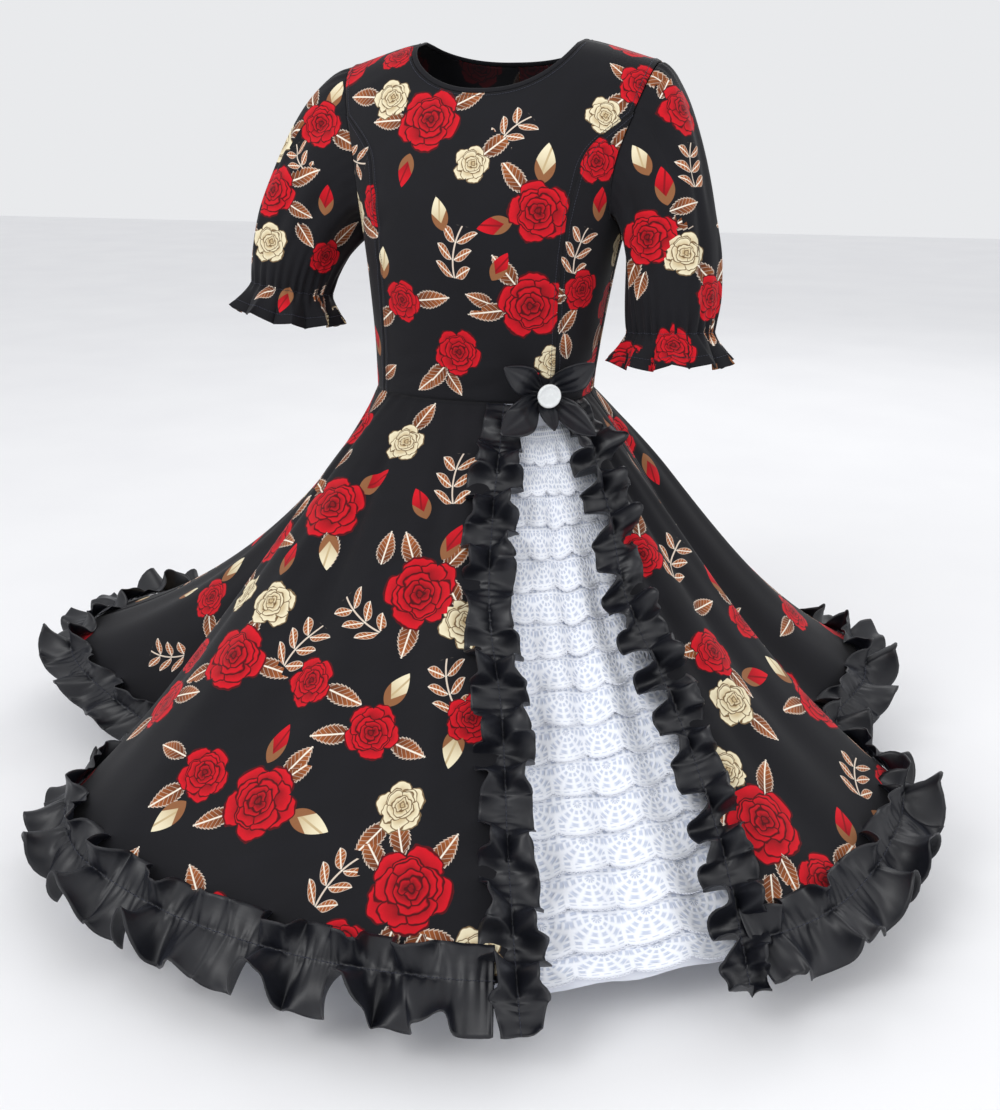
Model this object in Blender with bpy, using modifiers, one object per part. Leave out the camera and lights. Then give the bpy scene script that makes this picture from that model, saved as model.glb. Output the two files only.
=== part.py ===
"""A cueca dress, as worn: the cloth pieces of the bodice, sleeves, skirt and ruffles.

Everything is in metres, with +Z up. The front faces -Y and the wearer's left is +X.
The origin lies between the two points where the neckline meets the shoulder seams.
Each sewn piece is one object, a thin wall that follows the hollow form of the dress.
"""

import math

import bmesh
import bpy
import numpy as np
from mathutils import Vector

# Walls and gaps.
CLOTH_WALL = 0.0014
RUFFLE_WALL = 0.0013
LACE_WALL = 0.0010
PETAL_WALL = 0.0020
SEAM = 0.0003
WAIST_GAP = 0.0009
ARMHOLE_GAP = 0.0019

# The torso: how far it leans, and its half width and depths at each height.
WAIST_Z = -0.420
WAIST_CENTRE = (-0.016, -0.012)
NECK_CENTRE_X = 0.006
SQUARENESS = 2.4
TORSO_COLUMNS = ("z", "half_width", "front", "back")
TORSO_ROWS = (
    (-0.420, 0.137, 0.100, 0.096),
    (-0.360, 0.142, 0.105, 0.099),
    (-0.300, 0.149, 0.116, 0.103),
    (-0.240, 0.158, 0.126, 0.106),
    (-0.180, 0.172, 0.125, 0.107),
    (-0.120, 0.194, 0.112, 0.102),
    (-0.060, 0.222, 0.090, 0.090),
    (0.000, 0.245, 0.075, 0.078),
)
SHOULDER_SLOPE = 0.32
SHOULDER_ROUNDING = 0.030

# The neckline and the shoulder seams.
NECK_HALF = 0.104
NECK_FRONT_DROP = 0.064
NECK_BACK_DROP = 0.028
SHOULDER_X = 0.190
SHOULDER_EASE = 0.020
BODICE_STEPS = 8
PATCH_FADE = 5
NECK_EVEN = 0.45
SHOULDER_ROWS = (0.88, 0.94, 0.975, 0.994, 1.0)
BACK_ROWS = (0.68, 0.76, 0.84, 0.90, 0.94, 0.97, 0.992, 1.0)
PRINCESS_END_GAP = 0.0009
BINDING_WIDTH = 0.006
BINDING_DEPTH = 0.0028
BINDING_GAP = 0.0006
NECK_STEPS = 9

# Seams on the torso: distance from its centre line at each height.
PRINCESS_COLUMNS = ("z", "x")
PRINCESS_ROWS = (
    (-0.420, 0.108),
    (-0.330, 0.109),
    (-0.240, 0.113),
    (-0.170, 0.121),
    (-0.120, 0.136),
    (-0.085, 0.174),
)
ARMHOLE_COLUMNS = ("z", "front_x", "back_x")
ARMHOLE_ROWS = (
    (-0.235, 0.1585, 0.1585),
    (-0.200, 0.1550, 0.1610),
    (-0.150, 0.1580, 0.1670),
    (-0.085, 0.1740, 0.1790),
    (-0.055, 0.1830, 0.1850),
    (-0.029, 0.1900, 0.1900),
)
PRINCESS_TOP = -0.085

# The sleeves: where the gathered wrist line is, on each side of the wearer.
SLEEVE_COLUMNS = ("name", "side", "x", "y", "z", "tilt", "cap_push")
SLEEVE_ROWS = (
    ("sleeve_right", -1, -0.266, -0.045, -0.300, 0.16, 0.056),
    ("sleeve_left", 1, 0.222, -0.034, -0.336, 0.04, 0.034),
)
SLEEVE_RINGS = 7
SLEEVE_GATHER_RADIUS = 0.050
SLEEVE_INNER_PUSH = 0.014
SLEEVE_OUTER_FALL = 0.120
SLEEVE_INNER_FALL = 0.045
SLEEVE_PUFF = 0.024
FRILL_LENGTH = 0.038
FRILL_FLARE = 0.019
FRILL_WAVE = 0.0090
FRILL_WAVES = 10
FRILL_SAMPLES = 4

# The skirt: the outer edge of its hem round the waist's centre. pull and belly say
# how far out the cloth already is at a quarter and three quarters of its fall.
HEM_COLUMNS = ("azimuth", "radius", "z", "pull", "belly")
HEM_ROWS = (
    (-180, 0.600, -0.860, 0.20, 0.56),
    (-152, 0.630, -0.850, 0.20, 0.56),
    (-124, 0.530, -0.875, 0.14, 0.48),
    (-98, 0.650, -0.830, 0.10, 0.42),
    (-82, 0.650, -0.835, 0.10, 0.42),
    (-61, 0.470, -0.905, 0.16, 0.50),
    (-46, 0.575, -0.878, 0.28, 0.64),
    (-33, 0.612, -0.872, 0.30, 0.66),
    (-18, 0.605, -0.880, 0.28, 0.62),
    (-4, 0.602, -0.880, 0.26, 0.60),
    (9, 0.605, -0.880, 0.26, 0.60),
    (21, 0.612, -0.880, 0.26, 0.60),
    (32, 0.605, -0.885, 0.26, 0.60),
    (42, 0.610, -0.885, 0.26, 0.58),
    (53, 0.625, -0.878, 0.26, 0.56),
    (66, 0.615, -0.865, 0.26, 0.54),
    (78, 0.590, -0.860, 0.26, 0.52),
    (92, 0.500, -0.862, 0.26, 0.52),
    (106, 0.555, -0.842, 0.26, 0.52),
    (119, 0.575, -0.835, 0.26, 0.52),
    (137, 0.520, -0.865, 0.22, 0.52),
    (158, 0.610, -0.855, 0.20, 0.56),
)
PULL_FALL = 0.26
BELLY_FALL = 0.78

# The front opening of the skirt: the azimuth of its two edges down the fall, in degrees.
SLIT_COLUMNS = ("share", "right_edge", "left_edge")
SLIT_ROWS = (
    (0.00, 19.0, 64.0),
    (0.25, 16.0, 52.0),
    (0.40, 16.0, 47.0),
    (0.55, 18.5, 48.0),
    (0.75, 19.5, 46.5),
    (1.00, 20.5, 41.5),
)
SKIRT_ROWS = 7
SKIRT_STEP = 6.0

# The plain ruffles: gathered along the line where the wave is smallest.
HEM_HEADER = 0.032
HEM_FALL = 0.048
HEM_WAVE_PITCH = 0.078
HEM_HEADER_WAVE = 0.011
HEM_FALL_WAVE = 0.019
HEM_CURL = 0.009
HEM_END_LENGTH = 0.040
SLIT_HALF_WIDTH = 0.030
SLIT_WAVE = 0.011
SLIT_CURL = 0.006
SLIT_RUFFLE_TOP = 0.014
SLIT_GROW_LENGTH = 0.070
CORNER = 5.4
WAVE_SAMPLES = 5
RUFFLE_LIFT = 0.0030
SLIT_RUFFLE_LIFT = 0.0019

# The white underskirt and its lace.
UNDERSKIRT_INSET = 0.045
UNDERSKIRT_PULL_LESS = 0.10
UNDERSKIRT_WAIST_INSET = 0.0021
UNDERSKIRT_ROWS = 5
UNDERSKIRT_END = 0.985
UNDERSKIRT_COLUMNS = 60
UNDERSKIRT_PEEP = (-36.0, 12.0, 0.034)
LACE_TIERS = 16
LACE_SPAN = (8.0, 57.0)
LACE_SPAN_TOP = (19.0, 58.0)
LACE_SPAN_REACHED = 0.16
LACE_OVERLAP = 0.30
LACE_SCALLOPS = 8
LACE_SAMPLES = 2
LACE_SCALLOP_DEPTH = 0.006
LACE_LIFT = 0.0009
LACE_FLARE = 0.0032
LACE_TOP = 0.030
LACE_FROM_HEM = 0.002

# The flower at the top of the opening.
FLOWER_PHI = 42.0
FLOWER_Z = -0.408
PETAL_COLUMNS = ("angle", "length", "width", "lift")
PETAL_ROWS = (
    (146, 0.068, 0.034, 0.0),
    (34, 0.066, 0.034, 0.0),
    (207, 0.076, 0.034, 0.0029),
    (318, 0.062, 0.030, 0.0029),
    (264, 0.034, 0.022, 0.0091),
)
PETAL_ROOT = 0.006
PETAL_FOOT = 0.0027
PETAL_STAND_OFF = 0.020
PETAL_RISE = (0.013, 0.030)
PETAL_CUP = 0.003
PETAL_SLANT = 1.0
BUTTON_RADIUS = 0.0145
BUTTON_THICKNESS = 0.0042
BUTTON_STEPS = 24
BUTTON_LEAN = 0.0030


def table(columns, rows):
    """The rows of a table as one array for each named column."""
    return {name: np.array([row[i] for row in rows]) for i, name in enumerate(columns)}


TORSO = table(TORSO_COLUMNS, TORSO_ROWS)
PANELS = {}
PRINCESS = table(PRINCESS_COLUMNS, PRINCESS_ROWS)
ARMHOLE = table(ARMHOLE_COLUMNS, ARMHOLE_ROWS)
HEM = table(HEM_COLUMNS, HEM_ROWS)
SLIT = table(SLIT_COLUMNS, SLIT_ROWS)


def smooth(keys, values, x, period=None):
    """A smooth curve through the values at the keys, closed round a period if given."""
    keys, values = np.asarray(keys, float), np.asarray(values, float)
    x = np.asarray(x, float)
    if period:
        x = (x - keys[0]) % period + keys[0]
        keys = np.concatenate([keys[-2:] - period, keys, keys[:2] + period])
        values = np.concatenate([values[-2:], values, values[:2]])
    slopes = np.gradient(values, keys)
    i = np.clip(np.searchsorted(keys, x, side="right") - 1, 0, len(keys) - 2)
    span = keys[i + 1] - keys[i]
    u = (x - keys[i]) / span
    return (
        values[i] * (1 + 2 * u) * (1 - u) ** 2
        + span * slopes[i] * u * (1 - u) ** 2
        + values[i + 1] * u**2 * (3 - 2 * u)
        + span * slopes[i + 1] * u**2 * (u - 1)
    )


def rounded(value):
    """Sine or cosine bent towards the corners, for a cross-section that is not quite oval."""
    return np.sign(value) * np.abs(value) ** (2 / SQUARENESS)


def lean(z):
    """The torso's centre at height z: it leans from the waist to the neck."""
    share = np.asarray(z, float) / WAIST_Z
    return NECK_CENTRE_X + (WAIST_CENTRE[0] - NECK_CENTRE_X) * share, WAIST_CENTRE[1] * share


def shoulder_z(x):
    """Height of the shoulder line at x: level across the neck, then it slopes down."""
    past = np.abs(x) - NECK_HALF
    return -SHOULDER_SLOPE * 0.5 * (past + np.sqrt(past**2 + SHOULDER_EASE**2))


ARMHOLE["z"][-1] = shoulder_z(SHOULDER_X)


def torso(phi, z, face):
    """A point of the bodice. phi is measured from the centre line of its face (1 front, -1 back)."""
    phi, z = np.broadcast_arrays(np.asarray(phi, float), np.asarray(z, float))
    centre_x, centre_y = lean(z)
    across = smooth(TORSO["z"], TORSO["half_width"], z) * rounded(np.sin(phi))
    depth = smooth(TORSO["z"], TORSO["front" if face > 0 else "back"], z)
    below = z - shoulder_z(across)
    depth = depth * np.sqrt(1 - np.exp(np.minimum(below, 0) / SHOULDER_ROUNDING))
    out = SEAM / 2 + depth * rounded(np.abs(np.cos(phi)))
    return np.stack([centre_x + across, centre_y - face * out, z], -1)


def phi_at(x, z):
    """The angle at which the bodice is x away from its centre line at height z."""
    share = np.clip(np.abs(x) / smooth(TORSO["z"], TORSO["half_width"], z), 0, 1)
    return np.sign(x) * np.arcsin(share ** (SQUARENESS / 2))


def joined(pieces, shares):
    """One boundary from 0 to 1 made of several, each taking its share of the way."""
    ends = np.cumsum([0.0, *shares]) / sum(shares)

    def boundary(u):
        u = np.asarray(u, float)
        result = np.zeros(u.shape + (2,))
        for i, piece in enumerate(pieces):
            inside = (u >= ends[i]) & (u <= ends[i + 1] + 1e-9)
            local = (u[inside] - ends[i]) / (ends[i + 1] - ends[i])
            result[inside] = piece(np.clip(local, 0, 1))
        return result

    return boundary


def along(z0, z1, x_of_z):
    """A boundary that climbs from z0 to z1 at a distance x_of_z from the centre line."""

    def boundary(u):
        z = z0 + (z1 - z0) * u
        return np.stack([phi_at(x_of_z(z), z), z], -1)

    return boundary


def patch(bottom, top, left, right, columns, rows):
    """Angles and heights between four boundaries. Each one's bends fade away from it."""
    u, v = np.asarray(columns), np.asarray(rows)
    low, high, near, far = bottom(u)[None], top(u)[None], left(v)[:, None], right(v)[:, None]
    u, v = u[None, :, None], v[:, None, None]
    straight_low = (1 - u) * low[:, :1] + u * low[:, -1:]
    straight_high = (1 - u) * high[:, :1] + u * high[:, -1:]
    straight_near = (1 - v) * low[:, :1] + v * high[:, :1]
    straight_far = (1 - v) * low[:, -1:] + v * high[:, -1:]
    return (
        (1 - v) * straight_low
        + v * straight_high
        + (1 - v) ** PATCH_FADE * (low - straight_low)
        + v**PATCH_FADE * (high - straight_high)
        + (1 - u) ** PATCH_FADE * (near - straight_near)
        + u**PATCH_FADE * (far - straight_far)
    )


def neck_z(x, drop):
    """Height of the neckline at x: level at the shoulders, round towards the middle."""
    share = np.clip(np.abs(x) / NECK_HALF, 0, 1)
    return shoulder_z(x) - drop * (1 - share**2.3) ** 0.62



def neck_x(share):
    """How far the neckline is from the middle: share goes from -1 to 1, closer near the ends."""
    return NECK_HALF * (NECK_EVEN * share + (1 - NECK_EVEN) * np.sin(math.pi / 2 * share))


def neck_arc(drop, share_from):
    """The neckline from one side (-1) or the middle (0) to the other side."""

    def boundary(u):
        x = neck_x(share_from + (1 - share_from) * u)
        z = neck_z(x, drop)
        return np.stack([phi_at(x, z), z], -1)

    return boundary


def shoulder_line(x_from, x_to):
    def boundary(u):
        x = x_from + (x_to - x_from) * u
        z = shoulder_z(x)
        return np.stack([phi_at(x, z), z], -1)

    return boundary


def waist_edge(phi_from, phi_to):
    def boundary(u):
        return np.stack([phi_from + (phi_to - phi_from) * u, np.full_like(u, WAIST_Z + SEAM)], -1)

    return boundary


def princess_x(z):
    return smooth(PRINCESS["z"], PRINCESS["x"], z)


def armhole_x(z, face):
    return smooth(ARMHOLE["z"], ARMHOLE["front_x" if face > 0 else "back_x"], z)


def surface_object(name, grid, wall, colour, closed=False):
    """One sewn piece: a grid of points, in rows and columns, made a wall."""
    rows, columns = grid.shape[:2]
    mesh = bpy.data.meshes.new(name)
    shape = bmesh.new()
    bmesh.ops.create_grid(shape, x_segments=columns - 1, y_segments=rows - 1, size=1.0)
    shape.verts.ensure_lookup_table()
    for index, vert in enumerate(shape.verts):
        vert.co = Vector(grid[index // columns, index % columns])
    if closed:
        bmesh.ops.remove_doubles(shape, verts=shape.verts, dist=1e-5)
    bmesh.ops.triangulate(shape, faces=shape.faces, quad_method="FIXED")
    shape.to_mesh(mesh)
    shape.free()
    mesh.shade_smooth()
    piece = bpy.data.objects.new(name, mesh)
    solid = piece.modifiers.new("wall", "SOLIDIFY")
    solid.thickness = wall
    solid.offset = 0.0
    mesh.materials.append(finish(*colour))
    DRESS.objects.link(piece)
    return piece


def finish(name, colour, roughness):
    """One plain material for each kind of cloth, made the first time it is asked for."""
    known = bpy.data.materials.get(name)
    if known:
        return known
    material = bpy.data.materials.new(name)
    material.use_nodes = True
    shader = material.node_tree.nodes["Principled BSDF"]
    shader.inputs["Base Color"].default_value = (*colour, 1.0)
    shader.inputs["Roughness"].default_value = roughness
    shader.inputs["Metallic"].default_value = 0.0
    return material


PRINT_CLOTH = ("print_cloth", (0.030, 0.018, 0.022), 0.62)
RUFFLE_CLOTH = ("ruffle_cloth", (0.014, 0.016, 0.026), 0.40)
UNDER_CLOTH = ("under_cloth", (0.78, 0.80, 0.88), 0.70)
LACE = ("lace", (0.82, 0.84, 0.92), 0.75)
BUTTON = ("button", (0.80, 0.81, 0.81), 0.30)


def side_seam(v):
    low = WAIST_Z + SEAM
    return np.stack([np.full_like(v, math.pi / 2), low + (ARMHOLE["z"][0] - low) * v], -1)


def bodice_front():
    """The centre front: between the princess seams, up to the shoulders and the neck."""
    low, high = WAIST_Z + SEAM, PRINCESS_TOP
    side = joined(
        [
            along(low, high, lambda z: princess_x(z) - SEAM / 2),
            along(high, ARMHOLE["z"][-1], lambda z: armhole_x(z, 1)),
        ],
        [0.8, 0.2],
    )
    top = joined(
        [
            shoulder_line(-SHOULDER_X, -NECK_HALF),
            neck_arc(NECK_FRONT_DROP, -1),
            shoulder_line(NECK_HALF, SHOULDER_X),
        ],
        [0.2, 0.6, 0.2],
    )
    reach = float(phi_at(princess_x(low) - SEAM / 2, low))
    shoulder = np.linspace(0, 0.2, 4)[:-1]
    columns = np.concatenate([shoulder, np.linspace(0.2, 0.8, 2 * NECK_STEPS + 1), 1 - shoulder[::-1]])
    rows = np.concatenate([np.linspace(0, 0.8, BODICE_STEPS + 1), SHOULDER_ROWS])
    panel = patch(
        waist_edge(-reach, reach), top, lambda v: side(v) * np.array([-1, 1]), side, columns, rows
    )
    grid = torso(panel[..., 0], panel[..., 1], 1)
    surface_object("bodice_front", grid, CLOTH_WALL, PRINT_CLOTH)
    return {-1: grid[BODICE_STEPS:, 0], 1: grid[BODICE_STEPS:, -1]}


def bodice_side_front(name, side):
    """From the princess seam to the side seam, under the arm."""
    low, high = WAIST_Z + SEAM, PRINCESS_TOP

    def princess_side(z):
        near_top = np.clip((z - PRINCESS["z"][-2]) / (high - PRINCESS["z"][-2]), 0, 1)
        return princess_x(z) + SEAM / 2 + PRINCESS_END_GAP * near_top

    panel = patch(
        waist_edge(float(phi_at(princess_x(low) + SEAM / 2, low)), math.pi / 2),
        along_armhole(1, high, ARMHOLE["z"][0]),
        along(low, high, princess_side),
        side_seam,
        np.linspace(0, 1, 7),
        np.linspace(0, 1, BODICE_STEPS + 1),
    )
    grid = torso(side * panel[..., 0], panel[..., 1], 1)
    surface_object(name, grid, CLOTH_WALL, PRINT_CLOTH)
    return grid[-1]


def bodice_back(name, side):
    """Half of the back, from the centre-back seam to the side seam."""
    low = WAIST_Z + SEAM
    neck = float(neck_z(0, NECK_BACK_DROP))
    panel = patch(
        waist_edge(0.0, math.pi / 2),
        joined([neck_arc(NECK_BACK_DROP, 0), shoulder_line(NECK_HALF, SHOULDER_X)], [0.6, 0.4]),
        lambda v: np.stack([np.zeros_like(v), low + (neck - low) * v], -1),
        joined(
            [side_seam, along(ARMHOLE["z"][0], ARMHOLE["z"][-1], lambda z: armhole_x(z, -1))],
            [0.6, 0.4],
        ),
        np.concatenate([np.linspace(0, 0.6, NECK_STEPS + 1), [0.73, 0.87, 1.0]]),
        np.concatenate([np.linspace(0, 0.6, BODICE_STEPS - 1), BACK_ROWS]),
    )
    grid = torso(side * panel[..., 0], panel[..., 1], -1)
    grid[..., 0] += side * SEAM / 2
    surface_object(name, grid, CLOTH_WALL, PRINT_CLOTH)
    return grid[BODICE_STEPS - 2 :, -1]


def bodice():
    """All five panels. Returns each armhole as front and back lines, from the shoulder down."""
    armholes = {}
    front = bodice_front()
    for name, side in (("right", -1), ("left", 1)):
        under = bodice_side_front(f"bodice_side_front_{name}", side)
        back = bodice_back(f"bodice_back_{name}", side)
        armholes[side] = (np.concatenate([front[side][::-1], under]), back[::-1])
    return armholes


def along_armhole(face, z_from, z_to):
    """The top edge of a side panel: down the armhole to the side seam."""

    def boundary(u):
        z = z_from + (z_to - z_from) * u
        phi = phi_at(armhole_x(z, face), z)
        last = np.clip((u - 0.75) / 0.25, 0, 1)
        return np.stack([phi + (math.pi / 2 - phi) * last, z], -1)

    return boundary


def neck_point(share, face):
    """A point of the neck edge and the way out of the bodice there."""
    x = float(neck_x(share))
    z = float(neck_z(x, NECK_FRONT_DROP if face > 0 else NECK_BACK_DROP))
    phi = float(phi_at(x, z))
    around = torso(phi + 0.02, z - 0.002, face) - torso(phi - 0.02, z - 0.002, face)
    upward = torso(phi, z, face) - torso(phi, z - 0.004, face)
    out = np.cross(around, upward) * face
    return torso(phi, z, face), out / np.linalg.norm(out)


def neck_binding():
    """A narrow fold of cloth that stands on the neck edge, in line with the bodice."""
    loop, out = [], []
    for step in range(-NECK_STEPS, 3 * NECK_STEPS):
        at_corner = step % (2 * NECK_STEPS) == NECK_STEPS
        share = step / NECK_STEPS if step <= NECK_STEPS else 2 - step / NECK_STEPS
        faces = (1, -1) if at_corner else (1 if step < NECK_STEPS else -1,)
        found = [neck_point(share, face) for face in faces]
        loop.append(np.mean([point for point, _ in found], axis=0))
        out.append(np.mean([way for _, way in found], axis=0))
    loop, out = np.array(loop), np.array(out)
    ahead = np.roll(loop, -1, axis=0) - np.roll(loop, 1, axis=0)
    inward = np.cross(out, ahead)
    inward /= np.linalg.norm(inward, axis=1)[:, None]
    out = np.cross(ahead, inward)
    out /= np.linalg.norm(out, axis=1)[:, None]
    grid = []
    for reach, across in ((0, -1), (0, 1), (1, 1), (1, -1), (0, -1)):
        lift = BINDING_GAP + reach * BINDING_WIDTH
        grid.append(loop + inward * lift + out * across * BINDING_DEPTH / 2)
    grid = np.array(grid)
    grid = np.concatenate([grid, grid[:, :1]], axis=1)
    piece = surface_object("neck_binding", grid, CLOTH_WALL, PRINT_CLOTH, closed=True)
    piece.modifiers.clear()


def spread(line, count):
    """Points at even distances along a line of points, ends included."""
    length = line_length(line)
    spots = np.linspace(0, length[-1], count + 1)
    return np.stack([np.interp(spots, length, line[:, axis]) for axis in range(3)], -1)


def sleeve(armhole, name, side, x, y, z, tilt, cap_push):
    """A puffed sleeve: from the armhole to the gathered line and out again to the frill."""
    count = FRILL_WAVES * FRILL_SAMPLES
    front, back = (spread(line, count // 2) for line in armhole)
    start = np.concatenate([front[:-1], back[:0:-1]])
    start[0], start[count // 2] = (front[0] + back[0]) / 2, (front[-1] + back[-1]) / 2
    angle = np.arange(count) * 2 * math.pi / count
    outer = 0.5 + 0.5 * np.cos(angle)
    axis = np.array([side * tilt, -0.10, -1.0])
    axis /= np.linalg.norm(axis)
    across = np.array([side, 0.0, 0.0]) - axis * side * axis[0]
    across /= np.linalg.norm(across)
    forward = np.cross(axis, across) * side
    radial = np.cos(angle)[:, None] * across + np.sin(angle)[:, None] * forward
    centre = np.array([x, y, z])
    gather = centre + radial * SLEEVE_GATHER_RADIUS

    push = SLEEVE_INNER_PUSH + (cap_push - SLEEVE_INNER_PUSH) * outer
    leave = np.array([side, 0.0, 0.0]) * push[:, None]
    fall = SLEEVE_INNER_FALL + (SLEEVE_OUTER_FALL - SLEEVE_INNER_FALL) * outer
    arrive = -axis * fall[:, None] + radial * SLEEVE_PUFF * (0.35 + 0.65 * outer)[:, None]
    inward = start.mean(axis=0) - start
    inward /= np.linalg.norm(inward, axis=1)[:, None]
    first = start + inward * ARMHOLE_GAP + np.array([side, 0.0, 0.0]) * ARMHOLE_GAP / 2
    grid = []
    for u in np.linspace(0, 1, SLEEVE_RINGS):
        grid.append(
            first * (1 - u) ** 3
            + (first + leave) * 3 * u * (1 - u) ** 2
            + (gather + arrive) * 3 * u**2 * (1 - u)
            + gather * u**3
        )
    wave = np.sin(FRILL_WAVES * angle + 0.6 * np.sin(2 * angle))
    reach = FRILL_FLARE + FRILL_WAVE * wave
    drop = FRILL_LENGTH * (1 + 0.06 * np.cos(3 * angle))
    grid.append(gather + axis * drop[:, None] + radial * reach[:, None])
    grid = np.array(grid)
    grid = np.concatenate([grid, grid[:, :1]], axis=1)
    surface_object(name, grid, CLOTH_WALL, PRINT_CLOTH, closed=True)


def slit_azimuth(edge, share):
    """Where one edge of the front opening is, this far down the fall."""
    return smooth(SLIT["share"], SLIT[edge], share)


def fall_point(azimuth, share, radius_less=0.0, extra_z=0.0, waist_less=0.0, pull_less=0.0):
    """A point of the skirt's form: share 0 is the waist and 1 the outer edge of the hem."""
    azimuth, share = np.broadcast_arrays(np.asarray(azimuth, float), np.asarray(share, float))
    turn = np.radians(azimuth)
    half_width, depth = TORSO["half_width"][0] - waist_less, TORSO["front"][0] - waist_less
    start = np.stack([half_width * rounded(np.sin(turn)), -depth * rounded(np.cos(turn))], -1)
    radius = smooth(HEM["azimuth"], HEM["radius"], azimuth, 360.0) - radius_less
    end = np.stack([radius * np.sin(turn), -radius * np.cos(turn)], -1)
    pull = smooth(HEM["azimuth"], HEM["pull"], azimuth, 360.0) - pull_less
    belly = smooth(HEM["azimuth"], HEM["belly"], azimuth, 360.0)
    one, two, three = 3 * share * (1 - share) ** 2, 3 * share**2 * (1 - share), share**3
    out = pull * one + belly * two + three
    down = PULL_FALL * one + BELLY_FALL * two + three
    flat = start + (end - start) * out[..., None] + np.array(WAIST_CENTRE)
    hem_z = smooth(HEM["azimuth"], HEM["z"], azimuth, 360.0) + extra_z
    z = WAIST_Z - WAIST_GAP + (hem_z - WAIST_Z) * down
    return np.concatenate([flat, z[..., None]], -1)


def skirt_frame(azimuth, share, **inset):
    """The skirt's point there, with unit ways round it, down it and out of it."""
    point = fall_point(azimuth, share, **inset)
    round_it = fall_point(azimuth + 0.5, share, **inset) - fall_point(azimuth - 0.5, share, **inset)
    down = fall_point(azimuth, share + 0.01, **inset) - fall_point(azimuth, share - 0.01, **inset)
    reach = np.linalg.norm(round_it, axis=-1, keepdims=True)
    slope = np.linalg.norm(down, axis=-1, keepdims=True)
    out = np.cross(down / slope, round_it / reach)
    out /= np.linalg.norm(out, axis=-1, keepdims=True)
    return point, round_it / reach, down / slope, out, reach[..., 0], slope[..., 0] * 50


def gather_share(azimuth):
    """Where the hem ruffle is stitched: its fall is above the outer edge."""
    slope = skirt_frame(azimuth, np.full(np.shape(azimuth), 0.96))[5]
    return 1 - HEM_FALL / slope


def on_facets(grid, across, down):
    """The point of a faceted grid at these shares of its columns and its rows."""
    rows, columns = grid.shape[0] - 1, grid.shape[1] - 1
    u, v = np.clip(across, 0, 1) * columns, np.clip(down, 0, 1) * rows
    i = np.minimum(v.astype(int), rows - 1)
    j = np.minimum(u.astype(int), columns - 1)
    u, v = (u - j)[..., None], (v - i)[..., None]
    corner, beside, under, far = grid[i, j], grid[i, j + 1], grid[i + 1, j], grid[i + 1, j + 1]
    above_diagonal = corner + u * (beside - corner) + v * (far - beside)
    below_diagonal = corner + v * (under - corner) + u * (far - under)
    return np.where(u >= v, above_diagonal, below_diagonal)


def panel_edges(name, share):
    """The azimuths of a skirt panel's two edges, this far down the fall."""
    seam = math.degrees(3 * SEAM / 2 / HEM_ROWS[0][1])
    if name == "skirt_front_right":
        return np.full_like(share, -90 + seam), slit_azimuth("right_edge", share)
    if name == "skirt_front_left":
        return slit_azimuth("left_edge", share), np.full_like(share, 90 - seam)
    return np.full_like(share, 90 + seam), np.full_like(share, 270 - seam)


def panel_grid(name):
    """A skirt panel's points: rows down the fall, columns from edge to edge."""
    low, high = panel_edges(name, np.array([1.0]))
    columns = int(math.ceil((high[0] - low[0]) / SKIRT_STEP))
    across = np.linspace(0, 1, columns + 1)
    rows = []
    for down in np.linspace(0, 1, SKIRT_ROWS + 1):
        share = np.full_like(across, down * 0.93)
        for _ in range(3):
            low, high = panel_edges(name, share)
            azimuth = low + (high - low) * across
            share = down * gather_share(azimuth)
        rows.append(fall_point(azimuth, share))
    return np.array(rows)


def on_panel(name, azimuth, share):
    """A point on a skirt panel's facets, or past its edge on the form that it would follow."""
    low, high = panel_edges(name, share)
    across = (azimuth - low) / (high - low)
    down = share / gather_share(azimuth)
    inner_azimuth = low + (high - low) * np.clip(across, 0, 1)
    inner_share = np.clip(down, 0, 1) * gather_share(azimuth)
    past = fall_point(azimuth, share) - fall_point(inner_azimuth, inner_share)
    return on_facets(PANELS[name], across, down) + past


def skirt():
    """Two fronts that part at the opening, and a back between the side seams."""
    for name in ("skirt_front_right", "skirt_front_left", "skirt_back"):
        PANELS[name] = panel_grid(name)
        surface_object(name, PANELS[name], CLOTH_WALL, PRINT_CLOTH)


def line_length(points):
    """Distance along a line of points, from its start to each of them."""
    return np.concatenate([[0], np.cumsum(np.linalg.norm(np.diff(points, axis=0), axis=1))])


def wave_phase(share, waves, seed):
    """The angle along a row of waves that are a little uneven in width."""
    uneven = 0.35 * np.sin(2 * math.pi * (2.3 * share + 0.17 * seed))
    uneven += 0.25 * np.sin(2 * math.pi * (5.1 * share + 0.41 * seed))
    return 2 * math.pi * waves * share + uneven


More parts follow.
